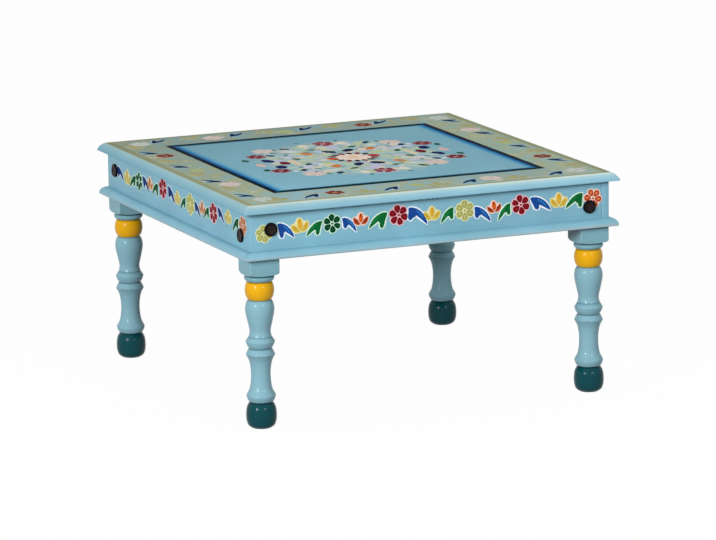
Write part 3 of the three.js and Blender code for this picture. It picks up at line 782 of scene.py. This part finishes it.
def screw_rings(low, high, turned):
    """From the slotted face in the middle, out to the rim, in along the cone, up the shank."""
    head = (high.x - low.x) / 2
    radii = np.r_[np.linspace(0.1, 1, FACE_RINGS) * head, head, SCREW_SHANK, SCREW_SHANK, SCREW_POINT]
    levels = np.r_[np.full(FACE_RINGS, low.z), low.z + SCREW_RIM, low.z + SCREW_CONE,
                   high.z - SCREW_TAPER, high.z]
    flat = radii[:, None] * np.exp(1j * steel_turn)
    across = np.abs((flat * np.exp(-1j * turned)).imag)
    slot = SLOT_DEPTH / (1 + (across / (SLOT_WIDTH / 2)) ** 8)
    level = levels[:, None] + np.where(np.arange(len(radii))[:, None] < FACE_RINGS - 1, slot, 0)
    return np.stack([(low.x + high.x) / 2 + flat.real, (low.y + high.y) / 2 + flat.imag, level], -1)


names = [n for n in sorted(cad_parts) if "_screw_" in n]
for number, name in enumerate(names):
    piece(f"slotted_{name}", screw_rings(*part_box(name), turned=number * 1.1), steel,
          name)
print("screws:", len(names))

# %% [markdown]
# ## Brush strokes
# The flowers are painted stroke by stroke, and so are these. One stroke is a low mound of
# enamel along a short curve: a quadratic Bezier spine, a width that swells and shrinks, and
# a crown of a few tenths of a millimetre. A flat image would show no relief when the light
# comes from the side. Each motif first gets its pale outline, as wider strokes, then its
# colour, then a few light touches on top. All the strokes of a side are computed together
# as one array, and the paint's colour is stored at the points.

# %% The mound of one stroke, for many at once
STATIONS = (1 - np.cos(np.pi * np.linspace(0.08, 0.92, 8))) / 2
SECTION_ACROSS = np.array([1, 0.62, 0, -0.62, -1, -0.5, 0.5])
SECTION_HEIGHT = np.array([0, 0.8, 1, 0.8, 0, 0, 0])
SINK = 0.12 * MM
LAYER_HEIGHTS = np.array([0.16, 0.30, 0.40, 0.50, 0.58]) * MM
OWN_STEP, OWN_STEPS = 0.003 * MM, 17


def stroke_rings(strokes):
    """Across a stroke: width * u^a (1 - u)^b, scaled to peak at 1. Up from the wood: the
    layer's height times (4 u (1 - u))^(1/4). Strokes of one layer differ by microns, so
    that no two of them lie in one plane."""
    spine = np.array([s["spine"] for s in strokes]) * MM
    width = np.array([s["width"] for s in strokes]) * MM
    a, b = np.array([s["swell"] for s in strokes]).T[..., None]
    layer = np.array([s["layer"] for s in strokes])
    u = STATIONS[None]
    peak = (a / (a + b)) ** a * (b / (a + b)) ** b
    half = width[:, None] * u**a * (1 - u) ** b / peak
    t = u[..., None]
    first, middle, last = (spine[:, None, i] for i in range(3))
    line = bent(first, middle, last, t)
    slope = 2 * (1 - t) * (middle - first) + 2 * t * (last - middle)
    slope = slope / np.linalg.norm(slope, axis=-1, keepdims=True)
    normal = np.stack([-slope[..., 1], slope[..., 0]], -1)
    flat = line[:, :, None] + normal[:, :, None] * (half[..., None] * SECTION_ACROSS)[..., None]
    own = OWN_STEP * (np.arange(len(strokes)) % OWN_STEPS)
    crown = (LAYER_HEIGHTS[layer] + own)[:, None] * (4 * u * (1 - u)) ** 0.25
    up = crown[..., None] * SECTION_HEIGHT - SINK * (np.arange(7) > 4)
    return np.concatenate([flat, up[..., None]], -1)


def painted(name, strokes, to_place, material):
    """All strokes as one mesh. to_place takes (right, up, out) to the table's x, y and z."""
    rings = to_place(stroke_rings(strokes))
    made = piece(name, rings, material, crease=60)
    colours = np.repeat([linear(s["colour"]) for s in strokes], rings[0].size // 3, axis=0)
    made.data.color_attributes.new("paint", "FLOAT_COLOR", "POINT").data.foreach_set(
        "color", colours.astype(np.float32).ravel())
    return made

# %% [markdown]
# ## Motifs
# The painter's alphabet is small: a six-petalled flower, a tulip of three petals, and a leaf
# split into a long and a short lobe. Each is drawn about its own middle, in millimetres, and
# then moved, turned, scaled or mirrored into its place.

# %% The alphabet
PAINTS = {  # colour, light, outline
    "blue": ("#1c4a98", "#2a70b8", "#e6f2fb"),
    "green": ("#0d6632", "#157a3c", "#d6f2dc"),
    "dark_green": ("#083c26", "#0f5632", "#c8ecce"),
    "wine": ("#64101e", "#942634", "#cf9a9c"),
    "red": ("#76101d", "#961c2a", "#f2b8be"),
    "orange": ("#dc6424", "#b2441c", "#f9d6c8"),
    "coral": ("#c04a28", "#e08658", "#f8d8c6"),
    "yellow": ("#e4b23a", "#d8bc4c", "#ebe4ac"),
    # darker copies of blue and green, painted shade for the left board's garland
    "deep_blue": ("#0f2c64", "#164480", "#cfe1f1"),
    "deep_green": ("#084527", "#0f5834", "#c4e6d0"),
    "straw": ("#cdb658", "#c6be78", "#dcdca8"),
    "peach": ("#b46a46", "#c6946e", "#e6ccb8"),
    "olive": ("#acac60", "#c6c67e", "#e6e8b4"),
    "navy": ("#0d274c", "#1a4a78", "#a8c8d8"),
    "rust": ("#6e1f20", "#a84a38", "#c49c84"),
    "mint": ("#b6c07a", "#c8d08c", "#b4c09a"),
    "pink": ("#e6d0c8", "#ece2e0", "#d2cec0"),
    "cream": ("#d0d8d2", "#dee4e2", "#c2ccbc"),
    "tan": ("#bab078", "#b6b686", "#aebca6"),
}
TULIP_VEINS = {"yellow": "#d09a30", "orange": "#74281a", "straw": "#b8a454",
               "peach": "#98543a", "tan": "#b8a466"}


def stroke(colour, layer, width, start, middle, end, swell=(0.5, 0.5)):
    """One brush stroke: its half width, and its spine by three points."""
    return {"colour": colour, "layer": layer, "width": width, "swell": swell,
            "spine": np.array([start, middle, end], float)}


def along_arm(colour, layer, width, start, end, angle, swell):
    """A straight stroke outwards from the middle, between two distances."""
    arm = on_circle(angle)
    return stroke(colour, layer, width, start * arm, (start + end) / 2 * arm, end * arm, swell)


PETALS = 6
PETAL_SHARES = [  # the paint's tone, layer, half width, start and end by the radius, swell
    (2, 0, 0.47, 0.05, 1.17, (0.7, 0.35)), (0, 1, 0.41, 0.22, 1.08, (0.6, 0.32)),
    (1, 2, 0.15, 0.45, 0.92, (0.6, 0.45))]
EYE_SHARES = [(2, 2, 0.25, -0.25, 0.25, (0.5, 0.5)), (0, 3, 0.16, -0.16, 0.16, (0.5, 0.5))]


def flower(paint, radius, lean=0.0):
    """Fat petals, evenly spaced, about a small eye in a pale ring."""
    around = np.pi / 2 + lean + 2 * np.pi * np.arange(PETALS) / PETALS
    return [along_arm(PAINTS[paint][tone], layer, width * radius, start * radius, end * radius,
                      angle, swell)
            for angles, shares in ((around, PETAL_SHARES), ((0,), EYE_SHARES))
            for angle in angles for tone, layer, width, start, end, swell in shares]


def with_outline(outline, grow, strokes):
    """The same strokes again, one layer under themselves, wider and longer by grow."""
    under = []
    for s in strokes:
        a, m, b = s["spine"]
        first, last = a - m, b - m
        first = a + grow * first / np.linalg.norm(first)
        last = b + grow * last / np.linalg.norm(last)
        under.append({**s, "spine": np.array([first, m, last]), "colour": outline,
                      "layer": s["layer"] - 1, "width": s["width"] + grow})
    return under + strokes


def leaf(paint, root, tip, small, bulge=5.0):
    """Two lobes from one root. The long one swings out on its way to the tip, the short one
    leans towards it, and a third stroke fills them up to the notch where they part."""
    colour, light, outline = PAINTS[paint]
    root, tip, small = (np.array(p, float) for p in (root, tip, small))
    run = tip - root
    size = np.linalg.norm(run) / 30
    out = np.array([-run[1], run[0]]) / np.linalg.norm(run)
    out = -out * np.sign(out @ (small - root))
    lean = 4 * size * (tip - small) / np.linalg.norm(tip - small)
    long_middle, short_middle = (root + tip) / 2 + bulge * out, (root + small) / 2 + lean
    notch = root + 0.64 * ((tip + small) / 2 - root)
    lobes = [
        stroke(colour, 1, 4.2 * size, root, long_middle, tip, (0.6, 0.8)),
        stroke(colour, 1, 3.8 * size, root, short_middle, small, (0.9, 0.45)),
        stroke(colour, 1, 5.0 * size, root, (root + notch) / 2 + 1.5 * out, notch, (0.8, 0.35)),
    ]
    touch = [stroke(light, 2, 2.2 * size, root + 0.25 * run + 0.45 * bulge * out,
                    long_middle - 0.1 * bulge * out, root + 0.8 * run + 0.2 * bulge * out)]
    return with_outline(outline, 1.2 * size, lobes) + touch


def tulip(paint, right, up, scale=1.0, turned=0.0):
    """A broad upright petal in front of two pointed ones that spread from the same foot."""
    colour, light, outline = PAINTS[paint]
    drawn = [stroke(outline, 0, 7.5, (-12.4, -1.6), (0, -3.4), (12.4, -1.6), (0.4, 0.4))]
    drawn += with_outline(outline, 1.2, [
        stroke(light, 1, 4.9, (0.5, -8.2), (-8.8, -7.6), (-12, 2), (0.5, 0.65)),
        stroke(light, 1, 4.9, (-0.5, -8.2), (8.8, -7.6), (12, 2), (0.5, 0.65)),
        stroke(colour, 3, 5.6, (0, -8.4), (0, 0), (0, 9), (0.6, 0.55))])
    touches = [(2, (-4.5, -6.6), (-8.6, -5.6), (-10.6, 0)), (2, (4.5, -6.6), (8.6, -5.6), (10.6, 0)),
               (4, (0, 0.5), (0, 4), (0, 7.8))]
    drawn += [stroke(TULIP_VEINS[paint], layer, 1.5, *spine) for layer, *spine in touches]
    return placed(drawn, right, up, turned, scale)


def placed(motif, right, up, turned=0.0, scale=1.0):
    """Each spine is scaled, turned and moved."""
    c, s = math.cos(turned) * scale, math.sin(turned) * scale
    move = np.array([[c, -s], [s, c]])
    return [{**one, "spine": one["spine"] @ move.T + [right, up], "width": one["width"] * scale}
            for one in motif]

# %% [markdown]
# Hand-ground enamel for the flowers holds more pigment and less oil than the ground coat, so
# it is duller, and uneven over a millimetre or two. A material for each colour would need
# dozens. Here the colour comes from the points, so one serves every flower of the apron.

# %% Flower enamel
def flower_enamel(add, finish):
    """The stored paint colour, lighter and darker by a fine noise that lifts the paint too."""
    place = add("TexCoord").node.outputs["Object"]
    paint = add("Attribute", attribute_name="paint").node.outputs["Color"]
    spots = add("TexNoise", {"Vector": place, "Scale": 1 / (1.6 * MM), "Detail": 3.0})
    shade = add("MapRange", [spots, 0.3, 0.7, 0.86, 1.12])
    tone = add("Mix", {0: 1.0, MIX_A: paint, MIX_B: shade}, **TINT)
    relief = add("Bump", {"Height": spots, "Distance": 0.04 * MM})
    return add("BsdfPrincipled", {"Base Color": tone, "Roughness": finish[0], "Normal": relief,
                                  "Specular IOR Level": finish[1]})


flower_paint = material("flower_enamel_on_the_apron", flower_enamel, MATT)
rubbed_paint = material("flower_enamel_on_the_rubbed_top", flower_enamel, RUBBED)

# %% [markdown]
# ## The apron's garland
# On each side a garland runs from bolt to bolt: a flower, a blue leaf falling away from it, a
# tulip, and a green leaf rising to the next flower. Places are along the board from its
# middle, and up from the floor, in millimetres. The bolts were put through the painting.

# %% Garland on the four apron boards
FRONT_GARLAND = (
    [  # flowers: paint, along, up, radius, lean in degrees
        ("olive", -264.8, 289.6, 11.8, 12), ("dark_green", -158.3, 295.4, 12.8, 5),
        ("red", -53.3, 298.3, 13.9, 12), ("olive", 52.3, 295.9, 13.7, 2),
        ("red", 142.6, 296.5, 13.5, 10), ("coral", 260.3, 295.7, 13.2, 20),
    ], [  # tulips: paint, along, up, scale, turned in degrees
        ("yellow", -209, 298.6, 1.05, 8), ("orange", -113.2, 299.3, 0.92, 0),
        ("yellow", -0.2, 297.6, 1.0, 0), ("orange", 99.4, 298.3, 0.88, 8),
        ("yellow", 204.6, 299.4, 1.04, 0),
    ], [  # leaves: paint, root, long tip, short tip, bulge
        ("blue", (-244, 302.5), (-217.5, 280), (-237.6, 280.8), 5),
        ("green", (-173.8, 300), (-199, 279.8), (-181.5, 280.5), 5),
        ("blue", (-142.8, 301.8), (-120.3, 279.3), (-138, 286), 7),
        ("green", (-71, 303.3), (-100.7, 282), (-80.3, 281.3), 7),
        ("blue", (-37.5, 307.3), (-7.6, 280.4), (-36.3, 289.3), 8),
        ("green", (34.3, 302.2), (14, 279.6), (32, 284.6), 4),
        ("blue", (67.8, 299.3), (94.2, 275.8), (71.3, 282.6), 5),
        ("green", (125.7, 300.3), (106, 275.3), (124.3, 283), 4),
        ("blue", (158, 304.6), (191.8, 283.6), (169.8, 286.8), 7),
        ("green", (244.2, 304.6), (215.5, 284), (240, 284.3), 5),
    ])
LEFT_GARLAND = (  # the left board begins with a leaf; its blues and greens are darker copies, painted shade against the sheen the light lays on that face, and its tulips are straw and peach
    [
        ("dark_green", -154, 295, 12.6, 4), ("red", -54.8, 301, 14.2, 12),
        ("olive", 56.3, 295.6, 14.2, 2), ("red", 148, 298, 13.6, 10),
        ("peach", 261, 298.6, 12.6, 20),
    ], [
        ("straw", -203.8, 294.8, 1.1, 0), ("peach", -108, 301, 0.96, 0),
        ("straw", 4.8, 298.3, 0.98, 0), ("peach", 103.6, 300, 0.96, 0),
        ("straw", 205.3, 304, 1.0, 0),
    ], [
        ("deep_blue", (-246.5, 303), (-219.5, 284), (-241, 288), 5),
        ("deep_green", (-167.5, 299.5), (-193, 279.8), (-174, 284), 5),
        ("deep_blue", (-139, 305), (-112.5, 283.5), (-131.5, 288.5), 7),
        ("deep_green", (-74.5, 302.8), (-98.5, 284), (-77, 285), 6),
        ("deep_blue", (-33.5, 307.5), (-6.5, 283.3), (-29, 291), 7),
        ("deep_green", (37, 301), (17, 281), (34.5, 286), 4),
        ("deep_blue", (73.5, 302.8), (95.5, 280.5), (79, 287.5), 5),
        ("deep_green", (130.3, 303), (110, 282.5), (128.3, 287), 4),
        ("deep_blue", (164.5, 309.3), (189, 289), (173, 295.5), 5),
        ("deep_green", (245.2, 305.8), (223, 283.8), (241, 290), 5),
    ])


def garland(flowers, tulips, leaves):
    """Every motif in its place."""
    drawn = []
    for paint, root, tip, small, bulge in leaves:
        drawn += leaf(paint, root, tip, small, bulge)
    for paint, along, up, scale, turned in tulips:
        drawn += tulip(paint, along, up, scale, math.radians(turned))
    for paint, along, up, radius, lean in flowers:
        drawn += placed(flower(paint, radius, lean=math.radians(lean)), along, up)
    return drawn


for turn, side in enumerate(SIDES):
    drawn = garland(*(LEFT_GARLAND if side == "left" else FRONT_GARLAND))
    painted(f"apron_flowers_{side}", drawn, lambda r: quarter_turned(np.stack(
        [r[..., 0], -APRON_FACE - r[..., 2], r[..., 1]], -1), turn), flower_paint)
    print(side, "garland:", len(drawn), "strokes")

# %% [markdown]
# On the front, just under the lip, the enamel has chipped in a few places and the dark wood
# shows. A chip is only a very short stroke.

# %% Chips under the lip
CHIPS = [(-25, 318.6, 3.4), (-18, 318.4, 2.6), (-6, 318.3, 1.6), (1, 318.2, 1.4), (8, 318.2, 1.8)]

chips = [stroke("#203a44", 0, 0.8, (x - half, z), (x, z), (x + half, z)) for x, z, half in CHIPS]
painted("chips_under_the_lip", chips, lambda r: np.stack(
    [r[..., 0], -APRON_FACE - 0.5 * r[..., 2], r[..., 1]], -1), flower_paint)

# %% [markdown]
# ## The top's border
# The border repeats the same motifs in fewer and softer colours: blue leaves, four flowers
# and four tulips on each side. A place is along the side and out from the middle, and each
# side has its own, because no painter measures them.

# %% Border of the top
BORDERS = {  # places along a side of its leaves, flowers and tulips, and how far out they lie
    "front": ((-178, -52, 73, 213), (-138, -7, 111, 250), (-235, -95, 22, 145), (261, 251, 260)),
    "right": ((-163, -32, 95, 220), (-124, 8, 134, 253), (-212, -78, 38, 165), (263, 256, 262)),
    "back": ((-158, -31, 85, 214), (-125, 5, 127, 247), (-212, -78, 32, 158), (261, 251, 260)),
    "left": ((-172, -46, 86, 213), (-141, -5, 120, 252), (-230, -95, 25, 150), (265, 249, 260)),
}
BORDER_PAINTS = (("rust", 13), ("mint", 11), ("pink", 15), ("cream", 15))


def border(leaves, flowers, tulips, out):
    """Strokes as (along, minus the distance out), so that up is towards the middle."""
    leaf_out, flower_out, tulip_out = out
    drawn = []
    for along in tulips:
        drawn += tulip("tan", along, -tulip_out, 1.35)
    for along in leaves:
        root, tip, small = ((along + x, y - leaf_out) for x, y in ((14, 12), (-16, -11), (4, -10)))
        drawn += leaf("navy", root, tip, small, 4.0)
    for along, (paint, radius) in zip(flowers, BORDER_PAINTS):
        drawn += placed(flower(paint, radius), along, -flower_out)
    return drawn


def on_top(r):
    """(right, up, out) lies on the table as (x, y, z)."""
    return np.stack([r[..., 0], r[..., 1], TOP_LEVEL + r[..., 2]], -1)


for turn, side in enumerate(SIDES):
    drawn = border(*BORDERS[side])
    painted(f"border_flowers_{side}", drawn, lambda r: quarter_turned(on_top(r), turn),
            rubbed_paint)
print("border:", len(drawn), "strokes on each side")

# %% [markdown]
# ## The medallion
# A large round bouquet fills the middle of the panel. Four rings of pale petals and a
# scatter of small leaves make its ground. The strong dabs on them are drawn once and mirrored
# from left to right and from front to back. The flowers stand where the hand put them.

# %% Medallion in the middle
PALE = ("#bcd8cc", "#c9d8b6", "#ccd4e6", "#e6decb", "#aecfd4")
PALE_RINGS = [(17, 40, 62, 8.5), (23, 60, 84, 8.5), (31, 82, 107, 8.5), (37, 105, 132, 8.0)]
LOOSE = 5.0  # how far the hand may miss
SCATTER = ("#e4ecec", "#d9d79a", "#5d8f8c", "#eadccd")
DABS = [  # colour, along, up, angle in degrees, half length, half width
    ("#101a44", 15, 56, 55, 14, 9.0), ("#141f56", 128, 26, 75, 14, 9.0),
    ("#74192a", 112, 0, 90, 13, 8.0), ("#d2d0ea", 0, 86, 90, 13, 10.0),
    ("#dc8440", 52, 56, 60, 13, 8.0), ("#175a32", 34, 84, 20, 9, 5.5),
    ("#154e32", 83, 24, 60, 9, 5.5), ("#175030", 158, 42, 80, 9, 5.0),
    ("#184460", 67, 108, 60, 10, 5.5), ("#1a3660", 108, 66, 70, 10, 5.5),
    ("#efdcba", 96, 10, 90, 12, 6.5), ("#f0e9d4", 32, 118, 80, 13, 8.0),
    ("#e6c4ba", 150, 0, 90, 14, 6.0), ("#d4e8dc", 66, 84, 45, 12, 8.0),
    ("#d6dcf2", 92, 42, 60, 11, 7.0), ("#c6da9c", 54, 28, 50, 11, 7.0),
]
MEDALLION_FLOWERS = [  # paint, along, up, radius
    ("red", 3, 124, 16), ("red", -1, -120, 16), ("wine", -130, 68, 14), ("wine", -141, -56, 14),
    ("wine", 141, 61, 14), ("wine", 140, -66, 14), ("pink", -103, 106, 16), ("pink", 100, 93, 16),
    ("pink", -105, -99, 16), ("pink", 95, -96, 16),
]
ROSETTE = [  # colours, number of arms, where they start and end, half width, layer
    (("#8c2a20", "#2c1a1c"), 16, 24, 39, 4.6, 1), (("#f8dfcc", "#fbe9dc"), 14, 3, 29, 6.0, 2),
    (("#f0c898",), 6, 1, 9, 3.0, 2)]
ROSETTE_DAB = (25, 33, 43)  # along x, on either side
by_hand = np.random.default_rng(7)


def ring_of(colours, count, start, end, width, layer, loose=0.0):
    """Arms all round the middle, in colours that take turns. A loose hand misses each
    length, width and angle by a little."""
    drawn = []
    for n in range(count):
        miss = loose * by_hand.uniform(-1, 1, 4)
        drawn.append(along_arm(colours[n % len(colours)], layer, width + 0.3 * miss[3],
                               start + miss[0], end + miss[1],
                               2 * np.pi * (n + 0.5 + 0.05 * miss[2]) / count, (0.6, 0.6)))
    return drawn


def sprig(colour, along, up, angle, length, width):
    """Three petals from one foot: a full one, and a short one on each side."""
    middle, angle = np.array([along, up]), math.radians(angle)
    foot = middle - 0.9 * length * on_circle(angle)
    drawn = []
    for spread, reach, share in ((0.0, 1.0, 0.62), (0.75, 0.5, 0.5), (-0.75, 0.5, 0.5)):
        tip = middle + reach * length * on_circle(angle + spread)
        drawn.append(stroke(colour, 1, share * width, foot, (foot + tip) / 2, tip, (0.7, 0.4)))
    return drawn


def four_ways(motif):
    """The same strokes mirrored in both axes."""
    return [{**one, "spine": one["spine"] * [x, y]}
            for x in (1, -1) for y in (1, -1) for one in motif]


def scattered(colours, count, near, far):
    """Small leaves in one quarter, at random distances and angles, turned at random."""
    drawn = []
    for n in range(count):
        reach, angle, turned = by_hand.uniform((near, 0.05, 0), (far, 1.52, np.pi))
        middle = reach * on_circle(angle)
        half = by_hand.uniform(5, 9) * on_circle(turned)
        bend = middle + 0.3 * half[::-1]
        drawn.append(stroke(colours[n % len(colours)], 0, 3.6, middle - half, bend, middle + half))
    return drawn


def medallion():
    """Pale ground, then the dabs and flowers, then the rosette in the centre."""
    drawn = []
    for count, start, end, width in PALE_RINGS:
        drawn += ring_of(PALE, count, start, end, width, 0, LOOSE)
    drawn += four_ways(scattered(SCATTER, 26, 45, 152))
    for colour, along, up, angle, length, width in DABS:
        drawn += four_ways(sprig(colour, along, up, angle, length, 1.4 * width))
    for paint, along, up, radius in MEDALLION_FLOWERS:
        drawn += placed(flower(paint, radius), along, up)
    for arms in ROSETTE:
        drawn += ring_of(*arms)
    for side, colour in ((1, "#cc3830"), (-1, "#dc6a34")):
        drawn.append(stroke(colour, 2, 10.0, *((side * along, 0) for along in ROSETTE_DAB)))
    return drawn


drawn = medallion()
painted("top_medallion", drawn, on_top, rubbed_paint)
print("medallion:", len(drawn), "strokes")

# %% [markdown]
# ## Floor, light and camera
# The floor and the world look white to the camera, and the floor keeps a soft shadow. The
# sky gives only part of the light. Two soft boxes stand low in front, so that the lip throws
# only a short shadow, and put the small highlights on the turned rings. A third hangs
# overhead and lights nothing but the top.

# %% Floor and sky
FLOOR_HALF = 30.0
FLOOR_GLOW = 0.97  # the share of the floor's look that is plain white, the rest shows shadows
SKY_STRENGTH = 0.34
WHITE = linear("#ffffff")


def seen_directly(add):
    """1 on rays from the camera, in reflections and through glass, and 0 on all others."""
    path = add("LightPath").node.outputs
    seen = path["Is Camera Ray"]
    for ray in ("Is Glossy Ray", "Is Transmission Ray"):
        seen = add("Math", [seen, path[ray]], operation="MAXIMUM")
    return seen


def white_floor(add):
    """Mostly plain white to the eye, with its shadows, and mid grey in the light it throws."""
    seen = seen_directly(add)
    glow = add("Math", [seen, FLOOR_GLOW], operation="MULTIPLY")
    shade = add("Mix", {0: seen, MIX_A: linear("#909090"), MIX_B: WHITE}, **BLEND)
    matt = add("BsdfDiffuse", {"Color": shade})
    return add("MixShader", [glow, matt, add("Emission", {"Color": WHITE, "Strength": 1.0})])


floor_mesh = bpy.data.meshes.new("studio_floor")
corners = [(-1, -1), (1, -1), (1, 1), (-1, 1)]
floor_mesh.from_pydata([(x * FLOOR_HALF, y * FLOOR_HALF, -0.1 * MM) for x, y in corners], [],
                       [(0, 1, 2, 3)])
floor_mesh.materials.append(material("white_floor", white_floor))
put("studio_floor", floor_mesh)

world = bpy.data.worlds.new("white_studio")
bpy.context.scene.world = world
world.use_nodes = True
world.node_tree.nodes.clear()
add = partial(add_node, world.node_tree)
sky = add("Background", {"Color": WHITE, "Strength": SKY_STRENGTH})
backdrop = add("Background", {"Color": WHITE, "Strength": 1.0})
add("OutputWorld", {"Surface": add("MixShader", [seen_directly(add), sky, backdrop])})

# %% [markdown]
# A soft box of power P, at distance d, lights a white board that faces it as brightly as a
# white sky would when P is (pi d) squared. So each box is given by its share of that level.

# %% Soft boxes
BOX_DISTANCE = 8.0
AIM = Vector((0, 0, 0.2))  # a point inside the table, which the boxes face
SOFT_BOXES = [  # name, azimuth from the front and elevation in degrees, level, side in metres
    ("left_soft_box", -56, 18.5, 0.71, 2.0),
    ("right_soft_box", 8, 22, 0.26, 1.6),
    ("overhead_soft_box", 0, 90, 0.06, 2.0),
]


def direction(azimuth, elevation):
    """From the table to a place: azimuth counts from the front to the right."""
    return Vector((math.sin(azimuth) * math.cos(elevation),
                   -math.cos(azimuth) * math.cos(elevation), math.sin(elevation)))


for name, azimuth, elevation, light_level, width in SOFT_BOXES:
    lamp = bpy.data.lights.new(name, "AREA")
    lamp.shape, lamp.size = "SQUARE", width
    lamp.energy = light_level * (math.pi * BOX_DISTANCE) ** 2
    toward = direction(math.radians(azimuth), math.radians(elevation))
    made = put(name, lamp)
    made.location = toward * BOX_DISTANCE + AIM
    made.rotation_mode = "QUATERNION"
    made.rotation_quaternion = (-toward).to_track_quat("-Z", "Y")
print("soft boxes:", len(SOFT_BOXES))

# %% [markdown]
# The camera is far off with a long lens, which is why the table's edges look nearly
# parallel. Its place and its three angles were worked out from the corners of the top.

# %% Camera
PHOTO_WIDTH = 716
FOCAL_PIXELS = 5007
CAMERA_PLACE = (-2.93673, -6.81505, 1.68391)
CAMERA_AZIMUTH, CAMERA_DOWN, CAMERA_ROLL = (math.radians(a) for a in (-23.35, 11.61, -0.74))

forward = -direction(CAMERA_AZIMUTH, CAMERA_DOWN)
level = Vector((math.cos(CAMERA_AZIMUTH), math.sin(CAMERA_AZIMUTH), 0))
upright = level.cross(forward)
right = math.cos(CAMERA_ROLL) * level + math.sin(CAMERA_ROLL) * upright
up = math.cos(CAMERA_ROLL) * upright - math.sin(CAMERA_ROLL) * level

camera_data = bpy.data.cameras.new("camera")
camera_data.sensor_fit = "HORIZONTAL"
camera_data.lens = FOCAL_PIXELS * camera_data.sensor_width / PHOTO_WIDTH
camera_data.clip_start, camera_data.clip_end = 0.1, 100
camera = put("camera", camera_data)
camera.matrix_world = (Matrix.Translation(CAMERA_PLACE)
                       @ Matrix((right, up, -forward)).transposed().to_4x4())
bpy.context.scene.camera = camera
bpy.context.scene.view_settings.view_transform = "Standard"
print("lens", round(camera_data.lens, 1), "mm")
